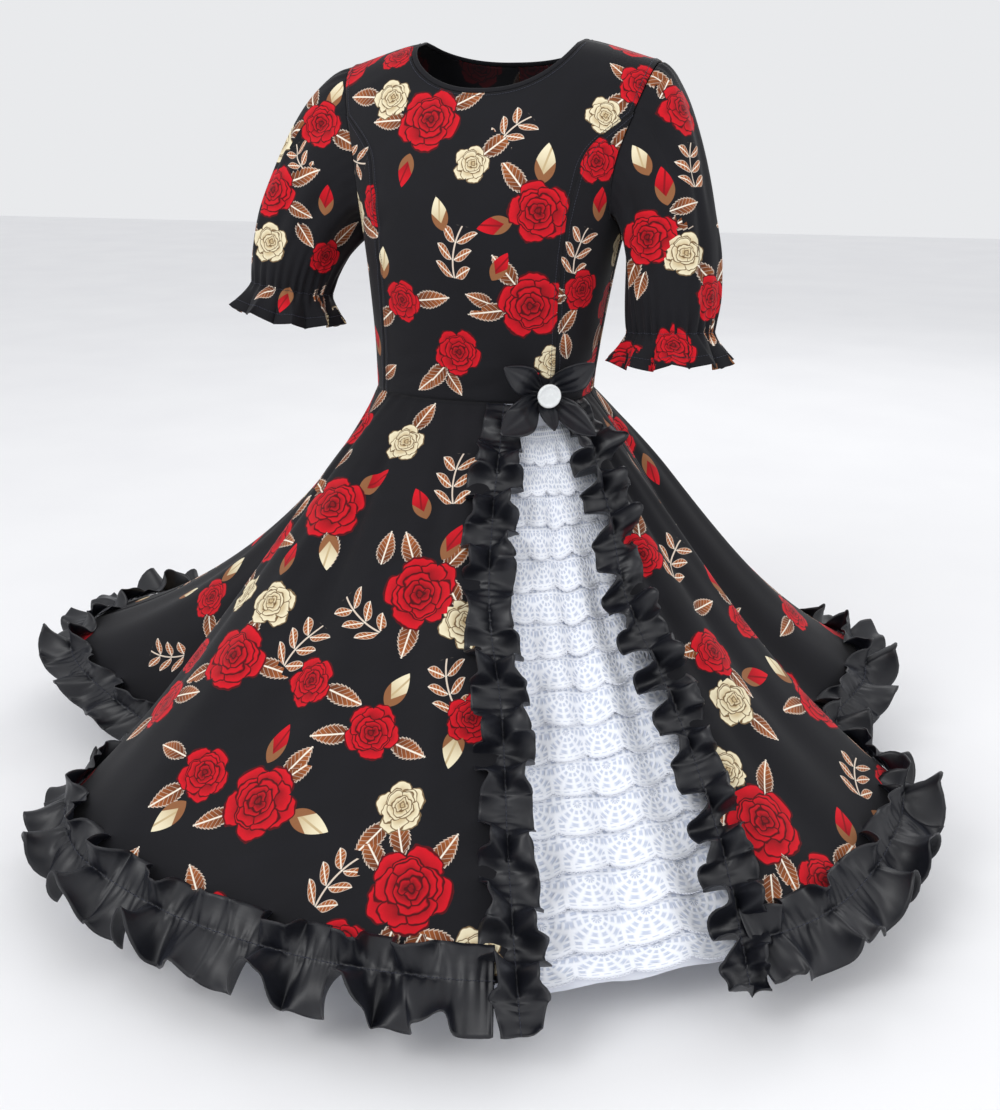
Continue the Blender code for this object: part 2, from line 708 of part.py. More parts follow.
def hem_ruffle(name, panel, azimuth_from, azimuth_to, seed):
    """A strip gathered on the hem: the header stands out, the fall flares in deep waves."""
    fine = np.linspace(azimuth_from, azimuth_to, 400)
    length = line_length(fall_point(fine, gather_share(fine)))
    waves = max(1, round(length[-1] / HEM_WAVE_PITCH))
    spots = np.linspace(0, length[-1], waves * WAVE_SAMPLES + 1)
    azimuth = np.interp(spots, length, fine)
    phase = wave_phase(spots / length[-1], waves, seed)
    stitched = gather_share(azimuth)
    slope = skirt_frame(azimuth, np.full_like(azimuth, 0.96))[5]
    from_end = np.minimum(spots, length[-1] - spots)
    grow = np.clip(from_end / HEM_END_LENGTH, 0.3, 1)
    grid = []
    for across, size in ((-HEM_HEADER, 1.0), (0.0, 0.0), (HEM_FALL, 1.0)):
        share = stitched + across / slope
        _, round_it, _, out, _, _ = skirt_frame(azimuth, share)
        if across <= 0:
            push = size * grow * HEM_HEADER_WAVE * (1.15 + np.sin(phase))
            curl = 0.5 * HEM_CURL * size * grow * np.sin(2 * phase)
        else:
            push = size * grow * HEM_FALL_WAVE * np.sin(phase)
            curl = HEM_CURL * size * grow * np.sin(2 * phase)
        base = on_panel(panel, azimuth, share)
        grid.append(base + out * (RUFFLE_LIFT + push)[:, None] + round_it * curl[:, None])
    surface_object(name, np.array(grid), RUFFLE_WALL, RUFFLE_CLOTH)


def slit_ruffle(name, panel, edge, inward, waves, seed):
    """A strip gathered down one edge of the opening, half on the skirt and half over the lace."""
    fine = np.linspace(SLIT_RUFFLE_TOP, 1.0, 200)
    length = line_length(fall_point(slit_azimuth(edge, fine), fine))
    spots = np.linspace(0, length[-1], waves * WAVE_SAMPLES + 1)
    share = np.interp(spots, length, fine)
    azimuth = slit_azimuth(edge, share)
    phase = wave_phase(spots / length[-1], waves, seed)
    grow = np.clip(spots / SLIT_GROW_LENGTH, 0.15, 1)
    reach = skirt_frame(azimuth, share)[4]
    grid = []
    for across, size in ((-1.0, 1.0), (0.0, 0.0), (1.0, 1.0)):
        shift = across * inward * SLIT_HALF_WIDTH * (0.45 + 0.55 * grow) / reach
        _, _, down, out, _, _ = skirt_frame(azimuth + shift, share)
        push = size * grow * SLIT_WAVE * ((1.15 if across < 0 else 0.6) + np.sin(phase))
        curl = SLIT_CURL * size * grow * np.sin(2 * phase)
        base = on_panel(panel, azimuth + shift, share)
        grid.append(base + out * (SLIT_RUFFLE_LIFT + push)[:, None] + down * curl[:, None])
    surface_object(name, np.array(grid), RUFFLE_WALL, RUFFLE_CLOTH)


def ruffles():
    """Three lengths round the hem and one down each edge of the opening."""
    hem = np.array([1.0])
    right_from, right_to = (edge[0] for edge in panel_edges("skirt_front_right", hem))
    left_from, left_to = (edge[0] for edge in panel_edges("skirt_front_left", hem))
    back_from, back_to = (edge[0] for edge in panel_edges("skirt_back", hem))
    hem_ruffle("ruffle_hem_front_right", "skirt_front_right", right_from, right_to - CORNER, 1)
    hem_ruffle("ruffle_hem_front_left", "skirt_front_left", left_from + CORNER, left_to, 2)
    hem_ruffle("ruffle_hem_back", "skirt_back", back_from, back_to, 3)
    slit_ruffle("ruffle_slit_right", "skirt_front_right", "right_edge", 1, 11, 4)
    slit_ruffle("ruffle_slit_left", "skirt_front_left", "left_edge", -1, 13, 5)


def under_frame(azimuth, share):
    """The underskirt's form: the skirt's, set in all round, longer where its hem shows."""
    centre, spread, drop = UNDERSKIRT_PEEP
    away = (np.asarray(azimuth, float) - centre + 180) % 360 - 180
    peep = np.exp(-((away / spread) ** 2))
    return skirt_frame(
        azimuth,
        share,
        radius_less=UNDERSKIRT_INSET * (1 - 0.6 * peep),
        extra_z=-drop * peep,
        waist_less=UNDERSKIRT_WAIST_INSET,
        pull_less=UNDERSKIRT_PULL_LESS,
    )


def underskirt():
    azimuth = np.linspace(-180, 180, UNDERSKIRT_COLUMNS + 1)
    share = np.linspace(0, UNDERSKIRT_END, UNDERSKIRT_ROWS + 1)[:, None]
    both = np.broadcast_arrays(azimuth, share)
    grid = under_frame(*both)[0]
    grid[:, -1] = grid[:, 0]
    PANELS["underskirt"] = grid
    surface_object("underskirt", grid, LACE_WALL, UNDER_CLOTH, closed=True)


def lace_tier(index):
    """One gathered tier: stitched at its top, scalloped and free at its lower edge."""
    fine = np.linspace(0, UNDERSKIRT_END, 200)
    length = line_length(under_frame(np.full_like(fine, sum(LACE_SPAN) / 2), fine)[0])
    height = (length[-1] - LACE_TOP) / LACE_TIERS
    top = LACE_TOP + height * index
    low = top + height * (1 + LACE_OVERLAP) if index < LACE_TIERS - 1 else top + height - LACE_FROM_HEM
    across = np.linspace(0, 1, LACE_SCALLOPS * LACE_SAMPLES + 1)
    wide = min(1.0, top / length[-1] / LACE_SPAN_REACHED)
    start, end = (a + (b - a) * wide for a, b in zip(LACE_SPAN_TOP, LACE_SPAN))
    azimuth = start + (end - start) * across
    lobe = np.abs(np.sin(math.pi * LACE_SCALLOPS * across))
    grid = []
    for distance, flare, scallop in ((top, 0.0, 0.0), (low, LACE_FLARE, LACE_SCALLOP_DEPTH)):
        share = np.interp(distance, length, fine) + scallop * (lobe - 1) / length[-1]
        out = under_frame(azimuth, share)[3]
        base = on_facets(PANELS["underskirt"], azimuth / 360 + 0.5, share / UNDERSKIRT_END)
        grid.append(base + out * (LACE_LIFT + LACE_WALL + flare))
    surface_object(f"lace_tier_{index + 1:02d}", np.array(grid), LACE_WALL, LACE)


def flower_frame():
    """Where the flower sits on the waist seam, with ways across, up and out of it."""
    phi = math.radians(FLOWER_PHI)
    near = torso(phi + 0.03, FLOWER_Z, 1) - torso(phi - 0.03, FLOWER_Z, 1)
    across = near / np.linalg.norm(near)
    up = np.array([0.0, 0.0, 1.0])
    return torso(phi, FLOWER_Z, 1), across, up, np.cross(across, up)


def petal(index, angle, length, width, lift):
    """A folded, pointed petal: narrow at the root, cupped along the middle, laid on the flare."""
    centre, across, up, out = flower_frame()
    turn = math.radians(angle)
    ahead = across * math.cos(turn) + up * math.sin(turn)
    sideways = np.cross(out, ahead)
    grid = []
    for u in np.linspace(0, 1, 8):
        reach = PETAL_ROOT + (length - PETAL_ROOT) * u
        half = max(0.0012, 0.5 * width * math.sin(math.pi * (0.05 + 0.94 * u)) ** 0.9)
        climb = np.clip((reach - PETAL_RISE[0]) / PETAL_RISE[1], 0, 1)
        rise = PETAL_FOOT + lift + PETAL_STAND_OFF * climb**2 * (3 - 2 * climb)
        row = []
        for v in np.linspace(-1, 1, 5):
            flat = ahead * reach + sideways * half * v
            cup = PETAL_CUP * (1 - v * v) * math.sin(math.pi * u) * climb
            slant = PETAL_SLANT * max(0.0, WAIST_Z - FLOWER_Z - float(flat[2]))
            row.append(centre + flat + out * (rise - cup + slant))
        grid.append(row)
    surface_object(f"flower_petal_{index + 1}", np.array(grid), PETAL_WALL, RUFFLE_CLOTH)


def button():
    """A flat round button with a low dome, turned from its profile."""
    centre, across, up, out = flower_frame()
    foot, top = 0.0, BUTTON_THICKNESS
    edge = 0.0010
    profile = [
        (0.0, top),
        (BUTTON_RADIUS * 0.6, top - 0.0002),
        (BUTTON_RADIUS - edge, top - 0.0008),
        (BUTTON_RADIUS, top - 0.0008 - edge),
        (BUTTON_RADIUS, foot + edge),
        (BUTTON_RADIUS - edge, foot),
        (0.0, foot),
    ]
    mesh = bpy.data.meshes.new("button")
    mesh.from_pydata([(r, 0.0, z) for r, z in profile], [(i, i + 1) for i in range(len(profile) - 1)], [])
    piece = bpy.data.objects.new("button", mesh)
    turn = piece.modifiers.new("turned", "SCREW")
    turn.steps = turn.render_steps = BUTTON_STEPS
    turn.use_merge_vertices = True
    turn.merge_threshold = 0.0001
    mesh.materials.append(finish(*BUTTON))
    DRESS.objects.link(piece)
    stack = PETAL_FOOT + PETAL_ROWS[-1][3] + PETAL_WALL / 2 + BUTTON_LEAN
    piece.location = Vector(centre + out * stack)
    piece.rotation_mode = "QUATERNION"
    piece.rotation_quaternion = Vector(out).to_track_quat("Z", "Y")


for existing in list(bpy.data.objects):
    bpy.data.objects.remove(existing, do_unlink=True)
DRESS = bpy.data.collections.new("cueca_dress")
bpy.context.scene.collection.children.link(DRESS)

armholes = bodice()
neck_binding()
for row in SLEEVE_ROWS:
    sleeve(armholes[row[1]], *row)
skirt()
ruffles()
underskirt()
for tier in range(LACE_TIERS):
    lace_tier(tier)
for number, row in enumerate(PETAL_ROWS):
    petal(number, *row)
button()
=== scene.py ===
# %% [markdown]
# # A dress for dancing the cueca
# The dress is shown as it is worn, with nobody in it: a fitted bodice, two puff sleeves, a
# full skirt with an opening on the wearer's left, ruffles, and rows of lace on an underskirt.
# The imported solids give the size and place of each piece. This script gives each of them
# the cloth that it is made of: finer folds, gathers, stitches, a print and a lace pattern.

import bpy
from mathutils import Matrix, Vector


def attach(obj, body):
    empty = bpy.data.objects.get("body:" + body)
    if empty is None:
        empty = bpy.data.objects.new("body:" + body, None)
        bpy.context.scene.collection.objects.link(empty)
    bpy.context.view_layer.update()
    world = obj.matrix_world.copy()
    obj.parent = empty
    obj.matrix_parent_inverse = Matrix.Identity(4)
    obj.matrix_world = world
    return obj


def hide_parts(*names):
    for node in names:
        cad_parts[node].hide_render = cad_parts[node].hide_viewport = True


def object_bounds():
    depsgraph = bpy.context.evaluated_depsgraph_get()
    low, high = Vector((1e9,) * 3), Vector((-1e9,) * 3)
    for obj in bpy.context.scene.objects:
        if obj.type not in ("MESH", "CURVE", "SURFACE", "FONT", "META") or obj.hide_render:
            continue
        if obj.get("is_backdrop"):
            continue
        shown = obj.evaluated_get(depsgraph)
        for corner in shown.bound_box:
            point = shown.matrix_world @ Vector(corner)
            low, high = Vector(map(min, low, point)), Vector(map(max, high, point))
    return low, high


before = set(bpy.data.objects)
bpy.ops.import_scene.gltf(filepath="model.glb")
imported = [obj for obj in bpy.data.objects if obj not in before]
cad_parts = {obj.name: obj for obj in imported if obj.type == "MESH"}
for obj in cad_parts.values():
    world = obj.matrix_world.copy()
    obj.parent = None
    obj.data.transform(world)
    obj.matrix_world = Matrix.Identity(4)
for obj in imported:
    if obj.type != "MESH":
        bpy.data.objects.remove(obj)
solid_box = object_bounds()
print("solids:", len(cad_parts))
print("box:", [[round(float(x), 3) for x in end] for end in solid_box])

# %% Modules and units
import math

import bmesh
import bpy
import numpy as np
from mathutils import Matrix, Vector

MM = 0.001


def add_object(name, data):
    """A new object in the scene, at the origin."""
    made = bpy.data.objects.new(name, data)
    bpy.context.scene.collection.objects.link(made)
    return made


def stands_for(piece, node):
    """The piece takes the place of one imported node."""
    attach(piece, "root")
    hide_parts(node)


print("one unit is 1 m, and MM is", MM)

# %% [markdown]
# ## The camera
# The photograph looks a little down on the dress, from slightly left of its front. The
# camera is set first, because the print is later placed by where it shows in the picture.
# Its frame is 1000 by 1110 pixels, and the horizon of the lens lies above the middle, so
# the lens is shifted rather than tilted further.

# %% The camera
PICTURE = (1000.0, 1110.0)
CENTRE_PX = (500.0, 450.0)
FOCAL_PX = 1190.0
CAMERA_TURN = math.radians(17.0)
CAMERA_DIP = 0.26019
CAMERA_AWAY = 1.5
CAMERA_DROP = -0.1083
SENSOR_MM = 36.0

view_right = np.array([math.cos(CAMERA_TURN), math.sin(CAMERA_TURN), 0.0])
level_ahead = np.array([-math.sin(CAMERA_TURN), math.cos(CAMERA_TURN), 0.0])
view_ahead = level_ahead * math.cos(CAMERA_DIP) - np.array([0.0, 0.0, math.sin(CAMERA_DIP)])
view_up = np.cross(view_right, view_ahead)
camera_at = -level_ahead * CAMERA_AWAY + np.array([0.0, 0.0, CAMERA_DROP])

lens = bpy.data.cameras.new("camera")
lens.sensor_width = SENSOR_MM
lens.lens = FOCAL_PX * SENSOR_MM / PICTURE[1]
lens.shift_y = -(PICTURE[1] / 2 - CENTRE_PX[1]) / PICTURE[1]
camera = add_object("camera", lens)
place = Matrix([[*row] for row in np.stack([view_right, view_up, -view_ahead], 1)]).to_4x4()
place.translation = Vector(camera_at)
camera.matrix_world = place
bpy.context.scene.camera = camera


def in_picture(points):
    """Where points in space show in the photograph's frame, and how far away they are."""
    away = np.asarray(points) - camera_at
    ahead = away @ view_ahead
    px = CENTRE_PX[0] + FOCAL_PX * (away @ view_right) / ahead
    py = CENTRE_PX[1] - FOCAL_PX * (away @ view_up) / ahead
    return np.stack([px, py], -1), ahead


print("lens:", round(lens.lens, 2), "mm, shift:", round(lens.shift_y, 4))

# %% [markdown]
# ## The form of the dress
# Every piece follows one form, so that seams meet and ruffles sit on the hem. The sizes
# below are the same as the solids have. The torso is a stack of rounded cross-sections, and
# the skirt is a curve from the waist to the hem for each direction round the wearer.

# %% Tables of the form
TORSO_COLUMNS = ("z", "half_width", "front", "back")
TORSO_ROWS = (
    (-0.420, 0.137, 0.100, 0.096),
    (-0.360, 0.142, 0.105, 0.099),
    (-0.300, 0.149, 0.116, 0.103),
    (-0.240, 0.158, 0.126, 0.106),
    (-0.180, 0.172, 0.125, 0.107),
    (-0.120, 0.194, 0.112, 0.102),
    (-0.060, 0.222, 0.090, 0.090),
    (0.000, 0.245, 0.075, 0.078),
)
PRINCESS_COLUMNS = ("z", "x")
PRINCESS_ROWS = (
    (-0.420, 0.108),
    (-0.330, 0.109),
    (-0.240, 0.113),
    (-0.170, 0.121),
    (-0.120, 0.136),
    (-0.085, 0.174),
)
ARMHOLE_COLUMNS = ("z", "front_x", "back_x")
ARMHOLE_ROWS = (
    (-0.235, 0.1585, 0.1585),
    (-0.200, 0.1550, 0.1610),
    (-0.150, 0.1580, 0.1670),
    (-0.085, 0.1740, 0.1790),
    (-0.055, 0.1830, 0.1850),
    (-0.029, 0.1900, 0.1900),
)
# Each row holds the name, side, x, y and z of the wrist, the tilt and the push of the cap.
SLEEVE_ROWS = (
    ("sleeve_right", -1, -0.266, -0.045, -0.300, 0.16, 0.056),
    ("sleeve_left", 1, 0.222, -0.034, -0.336, 0.04, 0.034),
)
HEM_COLUMNS = ("azimuth", "radius", "z", "pull", "belly")
HEM_ROWS = (
    (-180, 0.600, -0.860, 0.20, 0.56),
    (-152, 0.630, -0.850, 0.20, 0.56),
    (-124, 0.530, -0.875, 0.14, 0.48),
    (-98, 0.650, -0.830, 0.10, 0.42),
    (-82, 0.650, -0.835, 0.10, 0.42),
    (-61, 0.470, -0.905, 0.16, 0.50),
    (-46, 0.575, -0.878, 0.28, 0.64),
    (-33, 0.612, -0.872, 0.30, 0.66),
    (-18, 0.605, -0.880, 0.28, 0.62),
    (-4, 0.602, -0.880, 0.26, 0.60),
    (9, 0.605, -0.880, 0.26, 0.60),
    (21, 0.612, -0.880, 0.26, 0.60),
    (32, 0.605, -0.885, 0.26, 0.60),
    (42, 0.610, -0.885, 0.26, 0.58),
    (53, 0.625, -0.878, 0.26, 0.56),
    (66, 0.615, -0.865, 0.26, 0.54),
    (78, 0.590, -0.860, 0.26, 0.52),
    (92, 0.500, -0.862, 0.26, 0.52),
    (106, 0.555, -0.842, 0.26, 0.52),
    (119, 0.575, -0.835, 0.26, 0.52),
    (137, 0.520, -0.865, 0.22, 0.52),
    (158, 0.610, -0.855, 0.20, 0.56),
)
SLIT_COLUMNS = ("share", "right_edge", "left_edge")
SLIT_ROWS = (
    (0.00, 19.0, 64.0),
    (0.25, 16.0, 52.0),
    (0.40, 16.0, 47.0),
    (0.55, 18.5, 48.0),
    (0.75, 19.5, 46.5),
    (1.00, 20.5, 41.5),
)


def table(columns, rows):
    """The rows of a table as one array for each named column."""
    return {name: np.array([row[i] for row in rows]) for i, name in enumerate(columns)}


TORSO = table(TORSO_COLUMNS, TORSO_ROWS)
PRINCESS = table(PRINCESS_COLUMNS, PRINCESS_ROWS)
ARMHOLE = table(ARMHOLE_COLUMNS, ARMHOLE_ROWS)
HEM = table(HEM_COLUMNS, HEM_ROWS)
SLIT = table(SLIT_COLUMNS, SLIT_ROWS)
print("hem:", len(HEM_ROWS), "sections")

# %% Seams and gaps
FULL_TURN = 360.0
HALF_TURN = 180.0
WAIST_Z = -0.420
WAIST_CENTRE = (-0.016, -0.012)
WAIST_GAP = 0.9 * MM
SEAM = 0.3 * MM
ARMHOLE_GAP = 1.9 * MM
NECK_CENTRE_X = 0.006
SQUARENESS = 2.4
SHOULDER_SLOPE = 0.32
SHOULDER_ROUNDING = 0.030
SHOULDER_EASE = 0.020
SHOULDER_X = 0.190
NECK_HALF = 0.104
NECK_FRONT_DROP = 0.064
NECK_BACK_DROP = 0.028
NECK_EVEN = 0.45
PRINCESS_TOP = -0.085
PATCH_FADE = 5
PULL_FALL = 0.26
BELLY_FALL = 0.78
HEM_FALL = 0.048
HEM_HEADER = 0.032
NECK_BEND = 2.3
NECK_ROUND = 0.62
NEAR_THE_HEM = 0.96


def smooth(keys, values, x, period=None):
    """A smooth curve through the values at the keys, closed round a period if given."""
    keys, values = np.asarray(keys, float), np.asarray(values, float)
    x = np.asarray(x, float)
    if period:
        x = (x - keys[0]) % period + keys[0]
        keys = np.concatenate([keys[-2:] - period, keys, keys[:2] + period])
        values = np.concatenate([values[-2:], values, values[:2]])
    slopes = np.gradient(values, keys)
    i = np.clip(np.searchsorted(keys, x, side="right") - 1, 0, len(keys) - 2)
    span = keys[i + 1] - keys[i]
    u = (x - keys[i]) / span
    return (
        values[i] * (1 + 2 * u) * (1 - u) ** 2
        + span * slopes[i] * u * (1 - u) ** 2
        + values[i + 1] * u**2 * (3 - 2 * u)
        + span * slopes[i + 1] * u**2 * (u - 1)
    )


def fade(value, start, end):
    """Rises softly from 0 at start to 1 at end."""
    u = np.clip((np.asarray(value, float) - start) / (end - start), 0, 1)
    return u * u * (3 - 2 * u)


def unit(ways):
    """The same ways, each of length 1."""
    return ways / np.linalg.norm(ways, axis=-1, keepdims=True)


# %% The torso's form
def rounded(value):
    """Sine or cosine bent towards the corners, for a section that is not quite oval."""
    return np.sign(value) * np.abs(value) ** (2 / SQUARENESS)


def shoulder_z(x):
    """Height of the shoulder line at x: level across the neck, then it slopes down."""
    past = np.abs(x) - NECK_HALF
    return -SHOULDER_SLOPE * 0.5 * (past + np.sqrt(past**2 + SHOULDER_EASE**2))


ARMHOLE["z"][-1] = shoulder_z(SHOULDER_X)


def torso(phi, z, face):
    """A point of the bodice. phi is measured from the middle of its face (1 front, -1 back)."""
    phi, z = np.broadcast_arrays(np.asarray(phi, float), np.asarray(z, float))
    share = z / WAIST_Z
    centre_x = NECK_CENTRE_X + (WAIST_CENTRE[0] - NECK_CENTRE_X) * share
    across = smooth(TORSO["z"], TORSO["half_width"], z) * rounded(np.sin(phi))
    depth = smooth(TORSO["z"], TORSO["front" if face > 0 else "back"], z)
    below = z - shoulder_z(across)
    depth = depth * np.sqrt(1 - np.exp(np.minimum(below, 0) / SHOULDER_ROUNDING))
    out = SEAM / 2 + depth * rounded(np.abs(np.cos(phi)))
    return np.stack([centre_x + across, WAIST_CENTRE[1] * share - face * out, z], -1)


def phi_at(x, z):
    """The angle at which the bodice is x away from its centre line at height z."""
    share = np.clip(np.abs(x) / smooth(TORSO["z"], TORSO["half_width"], z), 0, 1)
    return np.sign(x) * np.arcsin(share ** (SQUARENESS / 2))


def princess_x(z):
    return smooth(PRINCESS["z"], PRINCESS["x"], z)


def armhole_x(z, face):
    return smooth(ARMHOLE["z"], ARMHOLE["front_x" if face > 0 else "back_x"], z)


def neck_x(share):
    """How far the neckline is from the middle, for share from -1 to 1."""
    return NECK_HALF * (NECK_EVEN * share + (1 - NECK_EVEN) * np.sin(math.pi / 2 * share))


def neck_z(x, drop):
    share = np.clip(np.abs(x) / NECK_HALF, 0, 1)
    return shoulder_z(x) - drop * (1 - share**NECK_BEND) ** NECK_ROUND


# %% [markdown]
# A bodice panel has four curved edges. The inside of the panel is filled by blending them,
# and each edge's bends fade away from it, so the weave runs straight across the middle.

# %% Panels between four edges
def edge_of(x, z):
    return np.stack([phi_at(x, z), z + 0 * x], -1)


def joined(pieces, shares):
    """One edge from 0 to 1 made of several, each taking its share of the way."""
    ends = np.cumsum([0.0, *shares]) / sum(shares)

    def edge(u):
        result = np.zeros(u.shape + (2,))
        for i, piece in enumerate(pieces):
            inside = (u >= ends[i]) & (u <= ends[i + 1] + 1e-9)
            result[inside] = piece(np.clip((u[inside] - ends[i]) / (ends[i + 1] - ends[i]), 0, 1))
        return result

    return edge


def climbing(z0, z1, x_of_z):
    return lambda u: edge_of(x_of_z(z0 + (z1 - z0) * u), z0 + (z1 - z0) * u)


def neck_arc(drop, share_from):
    def edge(u):
        x = neck_x(share_from + (1 - share_from) * u)
        return edge_of(x, neck_z(x, drop))

    return edge


def shoulder_line(x_from, x_to):
    def edge(u):
        x = x_from + (x_to - x_from) * u
        return edge_of(x, shoulder_z(x))

    return edge


def waist_edge(phi_from, phi_to):
    return lambda u: np.stack([phi_from + (phi_to - phi_from) * u, 0 * u + WAIST_Z + SEAM], -1)


def under_the_arm(u):
    """Down the front of the armhole to the side seam."""
    z = PRINCESS_TOP + (ARMHOLE["z"][0] - PRINCESS_TOP) * u
    phi = phi_at(armhole_x(z, 1), z)
    last = np.clip((u - 0.75) / 0.25, 0, 1)
    return np.stack([phi + (math.pi / 2 - phi) * last, z], -1)


def side_seam(u):
    low = WAIST_Z + SEAM
    return np.stack([0 * u + math.pi / 2, low + (ARMHOLE["z"][0] - low) * u], -1)


def patch(bottom, top, left, right, columns, rows):
    """Angles and heights between four edges."""
    u, v = np.asarray(columns), np.asarray(rows)
    low, high, near, far = bottom(u)[None], top(u)[None], left(v)[:, None], right(v)[:, None]
    u, v = u[None, :, None], v[:, None, None]
    straight_low = (1 - u) * low[:, :1] + u * low[:, -1:]
    straight_high = (1 - u) * high[:, :1] + u * high[:, -1:]
    straight_near = (1 - v) * low[:, :1] + v * high[:, :1]
    straight_far = (1 - v) * low[:, -1:] + v * high[:, -1:]
    return (
        (1 - v) * straight_low
        + v * straight_high
        + (1 - v) ** PATCH_FADE * (low - straight_low)
        + v**PATCH_FADE * (high - straight_high)
        + (1 - u) ** PATCH_FADE * (near - straight_near)
        + u**PATCH_FADE * (far - straight_far)
    )


# %% The skirt's form
def fall_point(azimuth, share, radius_less=0.0, extra_z=0.0, waist_less=0.0, pull_less=0.0):
    """A point of the skirt's form: share 0 is the waist and 1 the outer edge of the hem."""
    azimuth, share = np.broadcast_arrays(np.asarray(azimuth, float), np.asarray(share, float))
    turn = np.radians(azimuth)
    half_width, depth = TORSO["half_width"][0] - waist_less, TORSO["front"][0] - waist_less
    start = np.stack([half_width * rounded(np.sin(turn)), -depth * rounded(np.cos(turn))], -1)
    radius = smooth(HEM["azimuth"], HEM["radius"], azimuth, 360.0) - radius_less
    end = np.stack([radius * np.sin(turn), -radius * np.cos(turn)], -1)
    pull = smooth(HEM["azimuth"], HEM["pull"], azimuth, 360.0) - pull_less
    belly = smooth(HEM["azimuth"], HEM["belly"], azimuth, 360.0)
    one, two, three = 3 * share * (1 - share) ** 2, 3 * share**2 * (1 - share), share**3
    out = pull * one + belly * two + three
    down = PULL_FALL * one + BELLY_FALL * two + three
    flat = start + (end - start) * out[..., None] + np.array(WAIST_CENTRE)
    hem_z = smooth(HEM["azimuth"], HEM["z"], azimuth, 360.0) + extra_z
    z = WAIST_Z - WAIST_GAP + (hem_z - WAIST_Z) * down
    return np.concatenate([flat, z[..., None]], -1)


def skirt_frame(azimuth, share, **inset):
    """The skirt's point, the unit ways round, down and out, and metres per degree and share."""
    nudge = 0.01
    point = fall_point(azimuth, share, **inset)
    around = fall_point(azimuth + 0.5, share, **inset) - fall_point(azimuth - 0.5, share, **inset)
    down = fall_point(azimuth, share + nudge, **inset) - fall_point(azimuth, share - nudge, **inset)
    reach = np.linalg.norm(around, axis=-1)
    slope = np.linalg.norm(down, axis=-1) / (2 * nudge)
    around, down = unit(around), unit(down)
    return point, around, down, unit(np.cross(down, around)), reach, slope


def gather_share(azimuth):
    """Where the hem ruffle is stitched: its fall is above the outer edge."""
    return 1 - HEM_FALL / skirt_frame(azimuth, np.full(np.shape(azimuth), NEAR_THE_HEM))[5]


def slit_azimuth(edge, share):
    return smooth(SLIT["share"], SLIT[edge], share)


def panel_edges(name, share):
    """The azimuths of a skirt panel's two edges, this far down the fall."""
    seam = math.degrees(3 * SEAM / 2 / HEM_ROWS[0][1])
    if name == "skirt_front_right":
        return np.full_like(share, -90 + seam), slit_azimuth("right_edge", share)
    if name == "skirt_front_left":
        return slit_azimuth("left_edge", share), np.full_like(share, 90 - seam)
    return np.full_like(share, 90 + seam), np.full_like(share, 270 - seam)


hem_line = fall_point(np.linspace(-HALF_TURN, HALF_TURN, 361), 1.0)
hem_length = np.linalg.norm(np.diff(hem_line, axis=0), axis=1).sum()
print("hem round the outside:", round(float(hem_length), 2), "m")

# %% [markdown]
# ## Making a sheet of cloth
# Each piece starts as a grid of points, in rows and columns, because cloth is woven that
# way. A mesh of four-sided faces keeps the two directions of the thread as its UV map, in
# metres. A Solidify modifier then gives the sheet its thickness. The cut size is measured
# from the grid itself: how long its longest row is, how deep its columns are, and its area.

# %% Grids and their directions
def lengths(points, axis=0):
    """Distance along lines of points, starting at 0."""
    steps = np.linalg.norm(np.diff(points, axis=axis), axis=-1)
    start = np.zeros_like(np.take(steps, [0], axis=axis))
    return np.concatenate([start, np.cumsum(steps, axis=axis)], axis=axis)


def outward(grid, closed=False):
    """The unit way out of the sheet at each of its points."""
    rows, columns = np.gradient(grid, axis=0), np.gradient(grid, axis=1)
    if closed:
        columns[:, 0] = columns[:, -1] = grid[:, 1] - grid[:, -2]
    way = np.cross(rows, columns)
    return way / np.maximum(np.linalg.norm(way, axis=-1, keepdims=True), 1e-12)


def corners(values):
    """What a grid holds at the four corners of each of its faces."""
    return values[:-1, :-1], values[1:, :-1], values[1:, 1:], values[:-1, 1:]


def corner_floats(values):
    """The same, corner after corner in one long row, as a mesh stores it."""
    return np.stack(corners(values), -2).astype(np.float32).ravel()


def cut_size(grid):
    """The rectangle that the piece is cut from, and the area of its cloth."""
    wide = float(lengths(grid, 1)[:, -1].max())
    deep = float(lengths(grid, 0)[-1].max())
    a, b, c, d = corners(grid)
    area = 0.5 * np.linalg.norm(np.cross(c - a, d - b), axis=-1).sum()
    return wide, deep, float(min(area, wide * deep))


def faced_out(grid, closed=False):
    """Turns the columns round if the faces would point into the dress or the sleeve."""
    axis = np.concatenate([0 * grid[..., :2] + WAIST_CENTRE, grid[..., 2:]], -1)
    centre = grid.mean(axis=1, keepdims=True) if closed else axis
    inward = (outward(grid, closed) * (grid - centre)).sum() < 0
    return grid[:, ::-1] if inward else grid


# %% One piece of cloth
PIECES = {}
FORMS = {}
CUTS = []


def note_cut(name, wide, deep, area):
    CUTS.append((name, round(wide, 3), round(deep, 3), round(area, 4)))


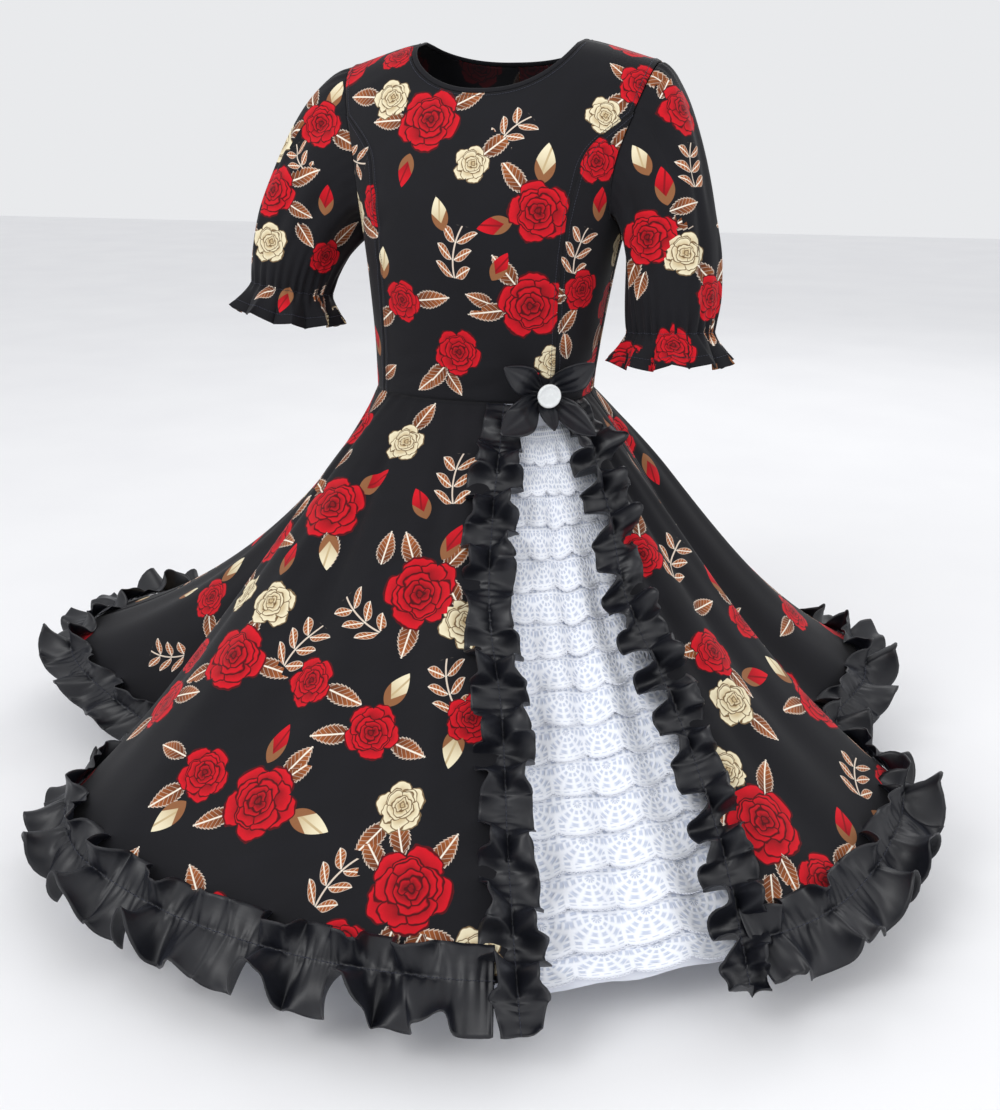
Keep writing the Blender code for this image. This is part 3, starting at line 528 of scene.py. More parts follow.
def cloth(name, grid, wall, materials, closed=False):
    """Makes the sheet, gives it its wall, and declares its cut."""
    grid = faced_out(grid, closed)
    FORMS[name] = (grid, outward(grid, closed))
    rows, columns = grid.shape[:2]
    index = np.arange(rows * columns).reshape(rows, columns)
    if closed:
        index[:, -1] = index[:, 0]
    faces = np.stack(corners(index), -1).reshape(-1, 4)
    used = np.unique(faces)
    renumber = np.zeros(rows * columns, int)
    renumber[used] = np.arange(len(used))
    mesh = bpy.data.meshes.new(name)
    mesh.from_pydata(grid.reshape(-1, 3)[used].tolist(), [], renumber[faces].tolist())
    threads = np.stack([lengths(grid, 1), lengths(grid, 0)], -1)
    mesh.uv_layers.new(name="threads").data.foreach_set("uv", corner_floats(threads))
    for material in materials:
        mesh.materials.append(material)
    mesh.shade_smooth()
    piece = add_object(name + "_cloth", mesh)
    solid = piece.modifiers.new("wall", "SOLIDIFY")
    solid.thickness = wall
    solid.offset = 0.0
    solid.material_offset = len(materials) - 1
    stands_for(piece, name)
    wide, deep, area = cut_size(grid)
    note_cut(name, wide, deep, area)
    PIECES[name] = piece
    return piece


# %% [markdown]
# ## Shader wiring
# Materials are networks of small nodes. A few short helpers add and join them, and what two
# materials share becomes a group with named inputs and outputs. Colours are written as they
# look on a screen, from 0 to 255, and turned into the linear values that the shader wants.

# %% Short ways to add nodes
def colour(red, green, blue):
    """A colour as the shader wants it, by the usual rule for screens."""
    shares = [c / 255 for c in (red, green, blue)]
    linear = [c / 12.92 if c < 0.0404 else ((c + 0.055) / 1.055) ** 2.4 for c in shares]
    return (*linear, 1.0)


class Wiring:
    """Adds nodes to one tree. A value may be a number, a colour or another node's output."""

    def __init__(self, tree):
        self.tree = tree

    def put(self, socket, value):
        if isinstance(value, bpy.types.NodeSocket):
            self.tree.links.new(value, socket)
        else:
            socket.default_value = value

    def add(self, kind, **inputs):
        made = self.tree.nodes.new(kind)
        for name, value in inputs.items():
            self.put(made.inputs[name.replace("_", " ")], value)
        return made

    def math(self, operation, *values):
        made = self.tree.nodes.new("ShaderNodeMath")
        made.operation = operation
        for socket, value in zip(made.inputs, values):
            self.put(socket, value)
        return made.outputs[0]

    def vector(self, operation, *values):
        made = self.tree.nodes.new("ShaderNodeVectorMath")
        made.operation = operation
        for socket, value in zip(made.inputs, values):
            self.put(socket, value)
        return made.outputs[0]

    def times(self, first, second):
        return self.math("MULTIPLY", first, second)

    def plus(self, first, second):
        return self.math("ADD", first, second)

    def minus(self, first, second):
        return self.math("SUBTRACT", first, second)

    def rest(self, value):
        """What is left of 1."""
        return self.math("SUBTRACT", 1.0, value)

    def most(self, first, second):
        return self.math("MAXIMUM", first, second)

    def size(self, value):
        """The value without its sign."""
        return self.math("ABSOLUTE", value)

    def repeat(self, value, often):
        """Runs from 0 to 1 again and again, so often in each unit."""
        return self.math("FRACT", self.times(value, often))

    def ripple(self, value):
        """0 half way through each repeat and 0.5 at both of its ends."""
        return self.size(self.minus(self.math("FRACT", value), 0.5))

    def wave(self, value, often):
        return self.math("COSINE", self.times(value, often))

    def length(self, x, y):
        return self.math("SQRT", self.plus(self.times(x, x), self.times(y, y)))

    def line(self, value, low, high):
        """1 below low and 0 above high: a drawn line where the value is small."""
        return self.rest(self.step(value, low, high))

    def bump(self, shader, height, strength, distance):
        made = self.add("ShaderNodeBump", Height=height, Strength=strength, Distance=distance)
        self.put(shader["Normal"], made.outputs[0])

    def noise(self, place, scale, detail):
        return self.add("ShaderNodeTexNoise", Vector=place, Scale=scale, Detail=detail).outputs

    def stored(self, title):
        """What each corner of a face has stored under this title."""
        found = self.tree.nodes.new("ShaderNodeAttribute")
        found.attribute_name = title
        return found.outputs["Vector"]

    def threads(self):
        """The piece's own map along the weave, in metres."""
        found = self.tree.nodes.new("ShaderNodeUVMap")
        found.uv_map = "threads"
        return found.outputs[0]

    def step(self, value, low, high):
        """0 below low, 1 above high, and soft between."""
        made = self.tree.nodes.new("ShaderNodeMapRange")
        made.interpolation_type = "SMOOTHSTEP"
        for name, setting in (("Value", value), ("From Min", low), ("From Max", high)):
            self.put(made.inputs[name], setting)
        return made.outputs["Result"]

    def mix(self, factor, first, second):
        made = self.tree.nodes.new("ShaderNodeMix")
        made.data_type = "RGBA"
        for place, setting in ((0, factor), (6, first), (7, second)):
            self.put(made.inputs[place], setting)
        return made.outputs[2]

    def parts(self, vector):
        return self.add("ShaderNodeSeparateXYZ", Vector=vector).outputs

    def use(self, group, **inputs):
        made = self.tree.nodes.new("ShaderNodeGroup")
        made.node_tree = group
        for name, value in inputs.items():
            self.put(made.inputs[name], value)
        return made.outputs


SOCKETS = {"F": "NodeSocketFloat", "V": "NodeSocketVector", "C": "NodeSocketColor"}


def shader_group(name, inputs, outputs):
    """A group with named sockets. F is a number, V a vector and C a colour."""
    tree = bpy.data.node_groups.new(name, "ShaderNodeTree")
    for title, kind in inputs.items():
        tree.interface.new_socket(title, in_out="INPUT", socket_type=SOCKETS[kind])
    for title, kind in outputs.items():
        tree.interface.new_socket(title, in_out="OUTPUT", socket_type=SOCKETS[kind])
    given = tree.nodes.new("NodeGroupInput").outputs
    result = tree.nodes.new("NodeGroupOutput").inputs
    return tree, Wiring(tree), given, result


def new_material(name):
    material = bpy.data.materials.new(name)
    material.use_nodes = True
    shader = material.node_tree.nodes["Principled BSDF"]
    return material, Wiring(material.node_tree), shader.inputs


def settle(shader, **values):
    """Sets sockets of the shader that are the same all over the piece."""
    for name, value in values.items():
        shader[name.replace("_", " ")].default_value = value


# %% [markdown]
# ## Weave
# All the cloth here is woven, so one group makes the weave for the print, the plain ruffles
# and the underskirt. Two sine waves along the UV map make the threads cross, and a slow
# noise makes some of the cloth a little darker, as worn and folded cotton is.

# %% The weave group
def cloth_weave():
    tree, wire, given, result = shader_group(
        "cloth_weave", {"Threads": "V", "Pitch": "F"}, {"Height": "F", "Mottle": "F"}
    )
    along, down, _ = wire.parts(given["Threads"])
    turns = wire.math("DIVIDE", 2 * math.pi, given["Pitch"])
    warp = wire.math("SINE", wire.times(along, turns))
    weft = wire.math("SINE", wire.times(down, turns))
    slub = wire.noise(given["Threads"], 260.0, 2.0)[0]
    wire.put(result["Height"], wire.math("MULTIPLY_ADD", wire.times(warp, weft), 0.25, slub))
    wire.put(result["Mottle"], wire.noise(given["Threads"], 22.0, 3.0)[0])
    return tree


WEAVE = cloth_weave()
print("group:", WEAVE.name)

# %% [markdown]
# ## The rose print
# The print is made of ordinary roses, buds, leaves and sprigs, drawn by shaders rather than
# from a picture. Each motif is a small flat stamp with its own x and y, which run from -1
# to 1. Every face of a printed piece later stores where it lies on the nearest stamp. A rose
# is a stack of rings of petals, from the outermost in. In each ring the edge is an angle
# function with rounded lobes, dark towards the heart and with a fine outline.

# %% One ring of petals
def petal_ring():
    tree, wire, given, result = shader_group(
        "petal_ring",
        {"Stamp": "V", **dict.fromkeys(("Radius", "Petals", "Turn", "Notch", "Off X", "Off Y"), "F")},
        {"Mask": "F", "Line": "F", "Depth": "F"},
    )
    x, y, _ = wire.parts(given["Stamp"])
    x, y = wire.minus(x, given["Off X"]), wire.minus(y, given["Off Y"])
    angle = wire.plus(wire.math("ARCTAN2", y, x), given["Turn"])
    lobe = wire.size(wire.wave(angle, wire.times(given["Petals"], 0.5)))
    dip = wire.rest(wire.math("POWER", lobe, 0.55))
    edge = wire.times(given["Radius"], wire.rest(wire.times(given["Notch"], dip)))
    away = wire.length(x, y)
    inside = wire.minus(edge, away)
    wire.put(result["Mask"], wire.step(inside, -0.012, 0.012))
    wire.put(result["Line"], wire.most(wire.line(inside, 0.030, 0.062), wire.line(lobe, 0.03, 0.16)))
    wire.put(result["Depth"], wire.math("DIVIDE", away, wire.most(edge, 0.01)))
    return tree


# %% The whole rose
RING_COLUMNS = ("Radius", "Petals", "Turn", "Notch", "Off X", "Off Y")
RING_ROWS = (
    (1.00, 5, 0.3, 0.27, 0.0, 0.0),
    (0.80, 5, 1.0, 0.20, 0.04, -0.03),
    (0.61, 4, 0.2, 0.18, -0.05, 0.05),
    (0.43, 3, 1.3, 0.16, 0.02, 0.05),
    (0.27, 3, 0.2, 0.20, 0.00, 0.07),
    (0.13, 2, 0.9, 0.25, 0.01, 0.08),
)


ROSE_UNEVEN = 0.26


def rose_stamp(ring):
    tree, wire, given, result = shader_group(
        "rose", {"Stamp": "V", "Bright": "C", "Deep": "C", "Line": "C"}, {"Mask": "F", "Color": "C"}
    )
    uneven = wire.noise(given["Stamp"], 3.1, 1.0)["Color"]
    shifted = wire.vector("MULTIPLY_ADD", uneven, (ROSE_UNEVEN, ROSE_UNEVEN, 0.0), given["Stamp"])
    centred = wire.vector("SUBTRACT", shifted, (ROSE_UNEVEN / 2, ROSE_UNEVEN / 2, 0.0))
    shown = given["Deep"]
    outer = None
    for row in RING_ROWS:
        petal = wire.use(ring, Stamp=centred, **dict(zip(RING_COLUMNS, map(float, row))))
        tone = wire.mix(wire.step(petal["Depth"], 0.45, 1.0), given["Deep"], given["Bright"])
        drawn = wire.mix(petal["Line"], tone, given["Line"])
        shown = wire.mix(petal["Mask"], shown, drawn)
        outer = outer or petal["Mask"]
    wire.put(result["Mask"], outer)
    wire.put(result["Color"], shown)
    return tree


ROSE = rose_stamp(petal_ring())
print("rose rings:", len(RING_ROWS))

# %% [markdown]
# A leaf is a pointed oval with a pale midrib, side veins and pale tips on its teeth. The
# same oval, wrapped in two sepals, is a bud. A sprig is a stem with small pairs of leaves.

# %% Leaves, buds and sprigs
SEPAL = colour(140, 92, 58)
DRAWN = {"Mask": "F", "Color": "C"}


def leaf_stamp():
    tree, wire, given, result = shader_group(
        "leaf", {"Stamp": "V", "Body": "C", "Dark": "C", "Vein": "C", "Bud": "F"}, DRAWN
    )
    x, y, _ = wire.parts(given["Stamp"])
    side = wire.size(x)
    oval = wire.math("POWER", wire.most(wire.rest(wire.times(y, y)), 0.0), 0.85)
    narrowed = wire.rest(wire.times(y, 0.28))
    half = wire.times(wire.times(oval, narrowed), 0.50)
    teeth = wire.times(wire.times(wire.repeat(y, 5.5), 0.07), wire.rest(given["Bud"]))
    inside = wire.minus(wire.minus(half, teeth), side)
    rising = wire.minus(wire.times(y, 4.2), wire.times(side, 3.6))
    veins = wire.times(wire.line(wire.ripple(rising), 0.03, 0.09), 0.42)
    tip = wire.times(wire.line(inside, 0.03, 0.10), 0.55)
    pale = wire.most(wire.line(side, 0.02, 0.055), wire.most(veins, tip))
    tone = wire.mix(wire.step(y, -0.9, 0.9), given["Dark"], given["Body"])
    leafy = wire.mix(pale, tone, given["Vein"])
    fold = wire.size(wire.minus(x, wire.times(y, 0.22)))
    creased = wire.mix(wire.line(fold, 0.03, 0.07), tone, given["Dark"])
    sepal = wire.minus(wire.times(side, 1.4), wire.plus(y, 0.52))
    budded = wire.mix(wire.step(sepal, 0.0, 0.05), creased, SEPAL)
    wire.put(result["Mask"], wire.step(inside, 0.0, 0.02))
    wire.put(result["Color"], wire.mix(given["Bud"], leafy, budded))
    return tree


def sprig_stamp():
    tree, wire, given, result = shader_group("sprig", {"Stamp": "V", "Body": "C", "Vein": "C"}, DRAWN)
    x, y, _ = wire.parts(given["Stamp"])
    side = wire.size(wire.minus(x, wire.times(wire.times(y, y), 0.18)))
    within = wire.step(wire.size(y), 1.0, 0.97)
    stem = wire.line(side, 0.018, 0.04)
    climbing_side = wire.times(wire.minus(y, wire.times(side, 0.75)), 1.5)
    off_leaf = wire.ripple(climbing_side)
    reach = wire.math("DIVIDE", wire.minus(side, 0.36), 0.33)
    thin = wire.minus(wire.times(wire.rest(wire.times(reach, reach)), 0.34), off_leaf)
    leaves = wire.step(thin, 0.0, 0.04)
    wire.put(result["Mask"], wire.times(wire.most(stem, leaves), within))
    veins = wire.times(wire.line(wire.ripple(wire.times(side, 9.0)), 0.05, 0.14), 0.5)
    edge = wire.times(wire.line(thin, 0.02, 0.09), 0.7)
    pale = wire.most(wire.line(off_leaf, 0.02, 0.06), wire.most(veins, edge))
    wire.put(result["Color"], wire.mix(pale, given["Body"], given["Vein"]))
    return tree


LEAF = leaf_stamp()
SPRIG = sprig_stamp()
print("groups:", [g.name for g in bpy.data.node_groups])

# %% [markdown]
# The printed cotton is nearly black and quite matte. Its layers lie over each other as dye
# does: sprigs and leaves first, then buds, then roses. The wrong side of the cloth, seen
# inside the neck and the frills, shows the print faintly, so it is a second material.

# %% Printed cotton
RED = (colour(206, 10, 30), colour(132, 3, 16), colour(78, 0, 8))
CREAM = (colour(232, 222, 190), colour(190, 168, 128), colour(112, 88, 58))
LEAF_TONES = (colour(158, 88, 42), colour(98, 50, 24), colour(240, 232, 216))
GROUND = (colour(19, 19, 25), colour(12, 12, 16))
BETWEEN_KINDS = 1.5
REVERSE_STRENGTH = 0.08


def printed(name, strength):
    material, wire, shader = new_material(name)
    weave = wire.use(WEAVE, Threads=wire.threads(), Pitch=1.3 * MM)
    plain = wire.mix(weave["Mottle"], GROUND[1], GROUND[0])
    leaf_at = wire.stored("leaf_at")
    body, dark, vein = LEAF_TONES
    leaf = wire.use(LEAF, Stamp=leaf_at, Body=body, Dark=dark, Vein=vein, Bud=0.0)
    sprig = wire.use(SPRIG, Stamp=leaf_at, Body=body, Vein=vein)
    is_sprig = wire.math("GREATER_THAN", wire.parts(leaf_at)[2], BETWEEN_KINDS)
    shown = wire.mix(wire.times(leaf["Mask"], wire.rest(is_sprig)), plain, leaf["Color"])
    shown = wire.mix(wire.times(sprig["Mask"], is_sprig), shown, sprig["Color"])
    for title, group in (("bud_at", LEAF), ("rose_at", ROSE)):
        place = wire.stored(title)
        pale = wire.math("GREATER_THAN", wire.parts(place)[2], BETWEEN_KINDS)
        tones = [wire.mix(pale, a, b) for a, b in zip(RED, CREAM)]
        if group == ROSE:
            motif = wire.use(group, Stamp=place, Bright=tones[0], Deep=tones[1], Line=tones[2])
        else:
            motif = wire.use(group, Stamp=place, Body=tones[0], Dark=tones[1], Vein=tones[2], Bud=1.0)
        shown = wire.mix(motif["Mask"], shown, motif["Color"])
    wire.put(shader["Base Color"], wire.mix(strength, plain, shown) if strength < 1 else shown)
    wire.bump(shader, weave["Height"], 0.35, 0.25 * MM)
    settle(shader, Roughness=0.78, Sheen_Weight=0.05, Sheen_Roughness=0.5, Specular_IOR_Level=0.22)
    return material


PRINT = [printed("print_cloth_face", 1.0), printed("print_cloth_reverse", REVERSE_STRENGTH)]
print("print materials:", [m.name for m in PRINT])

# %% [markdown]
# The ruffles are plain black satin: smooth, with a soft bluish gloss along the folds. The
# underskirt is thin white cotton. Both share the weave group at their own pitch.

# %% Satin and white cotton
SHEEN_TINT = colour(150, 160, 190)


def plain_cloth(name, dark, light, pitch, roughness, sheen, bump_strength):
    material, wire, shader = new_material(name)
    weave = wire.use(WEAVE, Threads=wire.threads(), Pitch=pitch * MM)
    wire.put(shader["Base Color"], wire.mix(weave["Mottle"], colour(*dark), colour(*light)))
    low, high = roughness
    wire.put(shader["Roughness"], wire.math("MULTIPLY_ADD", weave["Mottle"], high - low, low))
    wire.bump(shader, weave["Height"], bump_strength, 0.2 * MM)
    settle(shader, Sheen_Weight=sheen, Sheen_Roughness=0.35, Sheen_Tint=SHEEN_TINT)
    return material


# Each row holds the name, two tones, the pitch in mm, the roughness, the sheen and the bump.
PLAIN_CLOTHS = (
    ("ruffle_satin", (9, 10, 16), (14, 16, 25), 0.9, (0.36, 0.50), 0.06, 0.18),
    ("underskirt_cotton", (214, 218, 230), (238, 241, 249), 1.1, (0.7, 0.85), 0.1, 0.3),
    ("black_thread", (34, 36, 48), (48, 50, 64), 0.6, (0.5, 0.6), 0.3, 0.2),
    ("lace_cord", (226, 230, 242), (246, 248, 253), 0.8, (0.6, 0.7), 0.1, 0.3),
)
SATIN, COTTON, THREAD, WHITE_CORD = (plain_cloth(*row) for row in PLAIN_CLOTHS)
print("plain cloths:", SATIN.name, COTTON.name)

# %% [markdown]
# ## Lace
# Each tier carries a row of shells: arcs round a centre, crossed by spokes, with open net
# between them. The pattern reads the tier's own map, in which every scallop is one unit
# wide, so a shell always sits in its scallop. Thread is white. The openings are not cut:
# they are painted bluish grey, a painted shade of the layer below seen through the net.

# %% The lace material
SHELL_CENTRE = 0.34
SHELL_ARCS = 7.5
SHELL_SPOKES = 11.0
NET_THREADS = (5, 8)


def lace_cloth():
    material, wire, shader = new_material("shell_lace")
    along, down, _ = wire.parts(wire.stored("lace_at"))
    off = wire.minus(wire.math("FRACT", along), 0.5)
    fall = wire.minus(down, SHELL_CENTRE)
    radius = wire.length(off, fall)
    arcs = wire.times(wire.wave(radius, 2 * math.pi * SHELL_ARCS), 0.9)
    spokes = wire.times(wire.wave(wire.math("ARCTAN2", off, fall), SHELL_SPOKES), 0.7)
    in_shell = wire.times(wire.step(radius, 0.56, 0.50), wire.step(fall, -0.06, 0.0))
    across_net, down_net = (2 * math.pi * threads for threads in NET_THREADS)
    net = wire.most(wire.wave(along, across_net), wire.wave(down, down_net))
    cord = wire.math("MULTIPLY_ADD", in_shell, wire.minus(wire.most(arcs, spokes), net), net)
    solid = wire.most(wire.step(cord, -0.55, 0.75), wire.step(down, 0.90, 0.94))
    # The openings between the threads are painted shade: a bluish grey for the shadowed layer below, under
    # white thread.
    wire.put(shader["Base Color"], wire.mix(solid, colour(200, 208, 226), colour(243, 246, 253)))
    wire.bump(shader, solid, 0.7, 0.8 * MM)
    wire.put(shader["Roughness"], wire.math("MULTIPLY_ADD", solid, -0.15, 0.85))
    settle(shader, Sheen_Weight=0.15)
    return material


LACE = lace_cloth()
print("lace material:", LACE.name)

# %% [markdown]
# ## The bodice
# Princess seams shape a bodice without darts: three panels in front and two behind follow
# the torso. Where two panels are sewn and pressed, the cloth is double for a few
# millimetres, so it stands up beside the seam and dips into it. Those ridges and a few soft
# creases near the waist and the arms are moved into the grid along its outward way.

# %% Creases listed one by one
# Each row holds x and z at one end, x and z at the other, then the width and depth in mm.
FRONT_CREASES = (
    (-0.128, -0.398, -0.052, -0.384, 6, -1.5),
    (-0.122, -0.372, -0.070, -0.366, 5, -1.1),
    (0.048, -0.396, 0.126, -0.382, 6, -1.6),
    (0.078, -0.360, 0.132, -0.352, 5, -1.0),
    (-0.030, -0.404, 0.040, -0.392, 6, -1.2),
    (-0.014, -0.376, 0.058, -0.368, 7, 0.9),
    (-0.150, -0.236, -0.096, -0.196, 8, -2.0),
    (-0.154, -0.212, -0.112, -0.160, 6, -1.6),
    (0.152, -0.238, 0.100, -0.200, 8, -2.2),
    (0.156, -0.210, 0.118, -0.156, 6, -1.5),
    (0.140, -0.262, 0.092, -0.240, 7, -1.4),
    (-0.142, -0.268, -0.098, -0.250, 7, -1.2),
    (-0.168, -0.060, -0.118, -0.044, 7, 1.2),
    (0.168, -0.058, 0.120, -0.046, 7, 1.2),
    (-0.086, -0.330, -0.104, -0.296, 9, -1.0),
    (0.088, -0.322, 0.104, -0.284, 9, -1.1),
    (-0.062, -0.110, 0.056, -0.112, 12, -0.9),
)
BACK_CREASES = (
    (-0.124, -0.392, -0.030, -0.380, 7, -1.7),
    (0.122, -0.394, 0.028, -0.378, 7, -1.6),
    (-0.110, -0.356, -0.040, -0.350, 6, -1.2),
    (0.114, -0.360, 0.036, -0.346, 6, -1.3),
    (-0.158, -0.226, -0.090, -0.180, 9, -2.1),
    (0.158, -0.222, 0.094, -0.182, 9, -2.0),
    (-0.160, -0.190, -0.110, -0.134, 7, -1.4),
    (0.162, -0.192, 0.108, -0.138, 7, -1.5),
    (-0.060, -0.120, 0.066, -0.124, 12, -1.0),
    (-0.020, -0.300, -0.026, -0.250, 9, 0.9),
)


RIDGE = 0.7 * MM
RIDGE_AT = 5.0 * MM
RIDGE_WIDTH = 3.4 * MM
DIP = 0.4 * MM
DIP_WIDTH = 1.3 * MM


def crease_depth(x, z, rows):
    """How far out the creases move each point: soft, and fading at both ends."""
    depth = np.zeros(np.shape(x))
    for x0, z0, x1, z1, width, tall in rows:
        long = np.hypot(x1 - x0, z1 - z0)
        along = ((x - x0) * (x1 - x0) + (z - z0) * (z1 - z0)) / long**2
        off = ((x - x0) * (z1 - z0) - (z - z0) * (x1 - x0)) / long
        bow = 0.06 * long * np.sin(math.pi * np.clip(along, 0, 1))
        ends = fade(along, -0.15, 0.35) * (1 - fade(along, 0.6, 1.15))
        depth += tall * MM * np.exp(-(((off - bow) / (width * MM)) ** 2)) * ends
    return depth


def seam_relief(grid, edges):
    """The double cloth beside a seam: a dip at the edge itself and a ridge next to it."""
    relief = np.zeros(grid.shape[:2])
    across = lengths(grid, 1)
    down = lengths(grid, 0)
    away = {"left": across, "right": across[:, -1:] - across, "high": down}
    for edge in edges:
        relief += RIDGE * np.exp(-(((away[edge] - RIDGE_AT) / RIDGE_WIDTH) ** 2))
        relief -= DIP * np.exp(-((away[edge] / DIP_WIDTH) ** 2))
    return relief


def near_edges(count, close, rows):
    """Shares from 0 to 1, with a few more of them close to both ends."""
    inner = np.linspace(close * rows, 1 - close * rows, count - 2 * rows)
    lead = np.arange(rows) * close
    return np.concatenate([lead, inner, 1 - lead[::-1]])


def dressed(form, rows, edges):
    """Adds creases and seam relief to a bodice panel."""
    out = outward(form)
    if (out[..., :2] * (form[..., :2] - WAIST_CENTRE)).sum() < 0:
        out = -out
    depth = crease_depth(form[..., 0], form[..., 2], rows) + seam_relief(form, edges)
    return form + out * depth[..., None]


# %% Bodice panels
ARMHOLE_SHARES = (0.8, 0.2)
PRINCESS_END_GAP = 0.9 * MM
PRINT_WALL = 1.3 * MM
FRONT_ARMHOLE_ROW = 73
BACK_ARMHOLE_ROW = 53


def bodice_front():
    low, high = WAIST_Z + SEAM, PRINCESS_TOP
    below = climbing(low, high, lambda z: princess_x(z) - SEAM / 2)
    above = climbing(high, ARMHOLE["z"][-1], lambda z: armhole_x(z, 1))
    side = joined([below, above], ARMHOLE_SHARES)
    shoulders = (shoulder_line(-SHOULDER_X, -NECK_HALF), shoulder_line(NECK_HALF, SHOULDER_X))
    top = joined([shoulders[0], neck_arc(NECK_FRONT_DROP, -1), shoulders[1]], [0.2, 0.6, 0.2])
    reach = float(phi_at(princess_x(low) - SEAM / 2, low))
    near = np.concatenate([[0, 0.006], np.linspace(0, 0.2, 18)[1:-1]])
    columns = np.concatenate([near, np.linspace(0.2, 0.8, 67), 1 - near[::-1]])
    rows = np.concatenate([np.linspace(0, 0.8, 74), np.linspace(0.8, 1, 27)[1:-1], [0.994, 1.0]])
    panel = patch(waist_edge(-reach, reach), top, lambda v: side(v) * np.array([-1, 1]), side, columns, rows)
    grid = torso(panel[..., 0], panel[..., 1], 1)
    lines = {-1: grid[FRONT_ARMHOLE_ROW:, 0], 1: grid[FRONT_ARMHOLE_ROW:, -1]}
    shaped = dressed(grid, FRONT_CREASES, ("left", "right", "high"))
    shaped[FRONT_ARMHOLE_ROW:, [0, -1]] = grid[FRONT_ARMHOLE_ROW:, [0, -1]]
    cloth("bodice_front", shaped, PRINT_WALL, PRINT)
    return lines


def bodice_side_front(name, side):
    low, high = WAIST_Z + SEAM, PRINCESS_TOP

    def princess_side(z):
        near_top = np.clip((z - PRINCESS["z"][-2]) / (high - PRINCESS["z"][-2]), 0, 1)
        return princess_x(z) + SEAM / 2 + PRINCESS_END_GAP * near_top

    bottom = waist_edge(float(phi_at(princess_x(low) + SEAM / 2, low)), math.pi / 2)
    columns, rows = near_edges(34, 0.03, 2), np.linspace(0, 1, 74)
    panel = patch(bottom, under_the_arm, climbing(low, high, princess_side), side_seam, columns, rows)
    grid = torso(side * panel[..., 0], panel[..., 1], 1)
    line = grid[-1].copy()
    shaped = dressed(grid, FRONT_CREASES, ("left", "right"))
    shaped[-1] = line
    cloth(name, shaped, PRINT_WALL, PRINT)
    return line


def bodice_back(name, side):
    low, neck = WAIST_Z + SEAM, float(neck_z(0, NECK_BACK_DROP))
    top = joined([neck_arc(NECK_BACK_DROP, 0), shoulder_line(NECK_HALF, SHOULDER_X)], [0.6, 0.4])
    armhole = climbing(ARMHOLE["z"][0], ARMHOLE["z"][-1], lambda z: armhole_x(z, -1))
    panel = patch(
        waist_edge(0.0, math.pi / 2),
        top,
        lambda v: np.stack([np.zeros_like(v), low + (neck - low) * v], -1),
        joined([side_seam, armhole], [0.6, 0.4]),
        np.concatenate([[0, 0.012], np.linspace(0.024, 0.6, 38), np.linspace(0.6, 1, 20)[1:]]),
        np.concatenate([np.linspace(0, 0.6, 54), np.linspace(0.6, 1, 37)[1:-1], [0.994, 1.0]]),
    )
    grid = torso(side * panel[..., 0], panel[..., 1], -1)
    grid[..., 0] += side * SEAM / 2
    line = grid[BACK_ARMHOLE_ROW:, -1].copy()
    shaped = dressed(grid, BACK_CREASES, ("left", "right", "high"))
    shaped[BACK_ARMHOLE_ROW:, -1] = line
    cloth(name, shaped, PRINT_WALL, PRINT)
    return line


armholes = {}
front_lines = bodice_front()
for name, side in (("right", -1), ("left", 1)):
    under = bodice_side_front(f"bodice_side_front_{name}", side)
    back = bodice_back(f"bodice_back_{name}", side)
    armholes[side] = (np.concatenate([front_lines[side][::-1], under]), back[::-1])
print("bodice:", [(n, w, d) for n, w, d, _ in CUTS])

# %% [markdown]
# The neck is finished with a narrow strip, folded over the raw edge. It is a long tube with
# a flattened section, swept round the neck.

# %% Neck binding
BINDING_WIDTH = 6 * MM
BINDING_DEPTH = 2.6 * MM
BINDING_GAP = 0.6 * MM
BINDING_CUT = 10 * MM
BINDING_HALF_PROFILE = ((0, 0.8), (0.25, 1.0), (0.6, 0.95), (0.9, 0.6))
BINDING_PROFILE = (
    *[(deep, -side) for deep, side in BINDING_HALF_PROFILE],
    (1.0, 0),
    *BINDING_HALF_PROFILE[::-1],
    (0, -0.8),
)
BINDING_STEPS = 48
BINDING_ROW = 1.8 * MM


def neck_point(share, face):
    x = float(neck_x(share))
    z = float(neck_z(x, NECK_FRONT_DROP if face > 0 else NECK_BACK_DROP))
    phi = float(phi_at(x, z))
    around = torso(phi + 0.02, z - 0.002, face) - torso(phi - 0.02, z - 0.002, face)
    out = np.cross(around, torso(phi, z, face) - torso(phi, z - 0.004, face)) * face
    return torso(phi, z, face), out / np.linalg.norm(out)


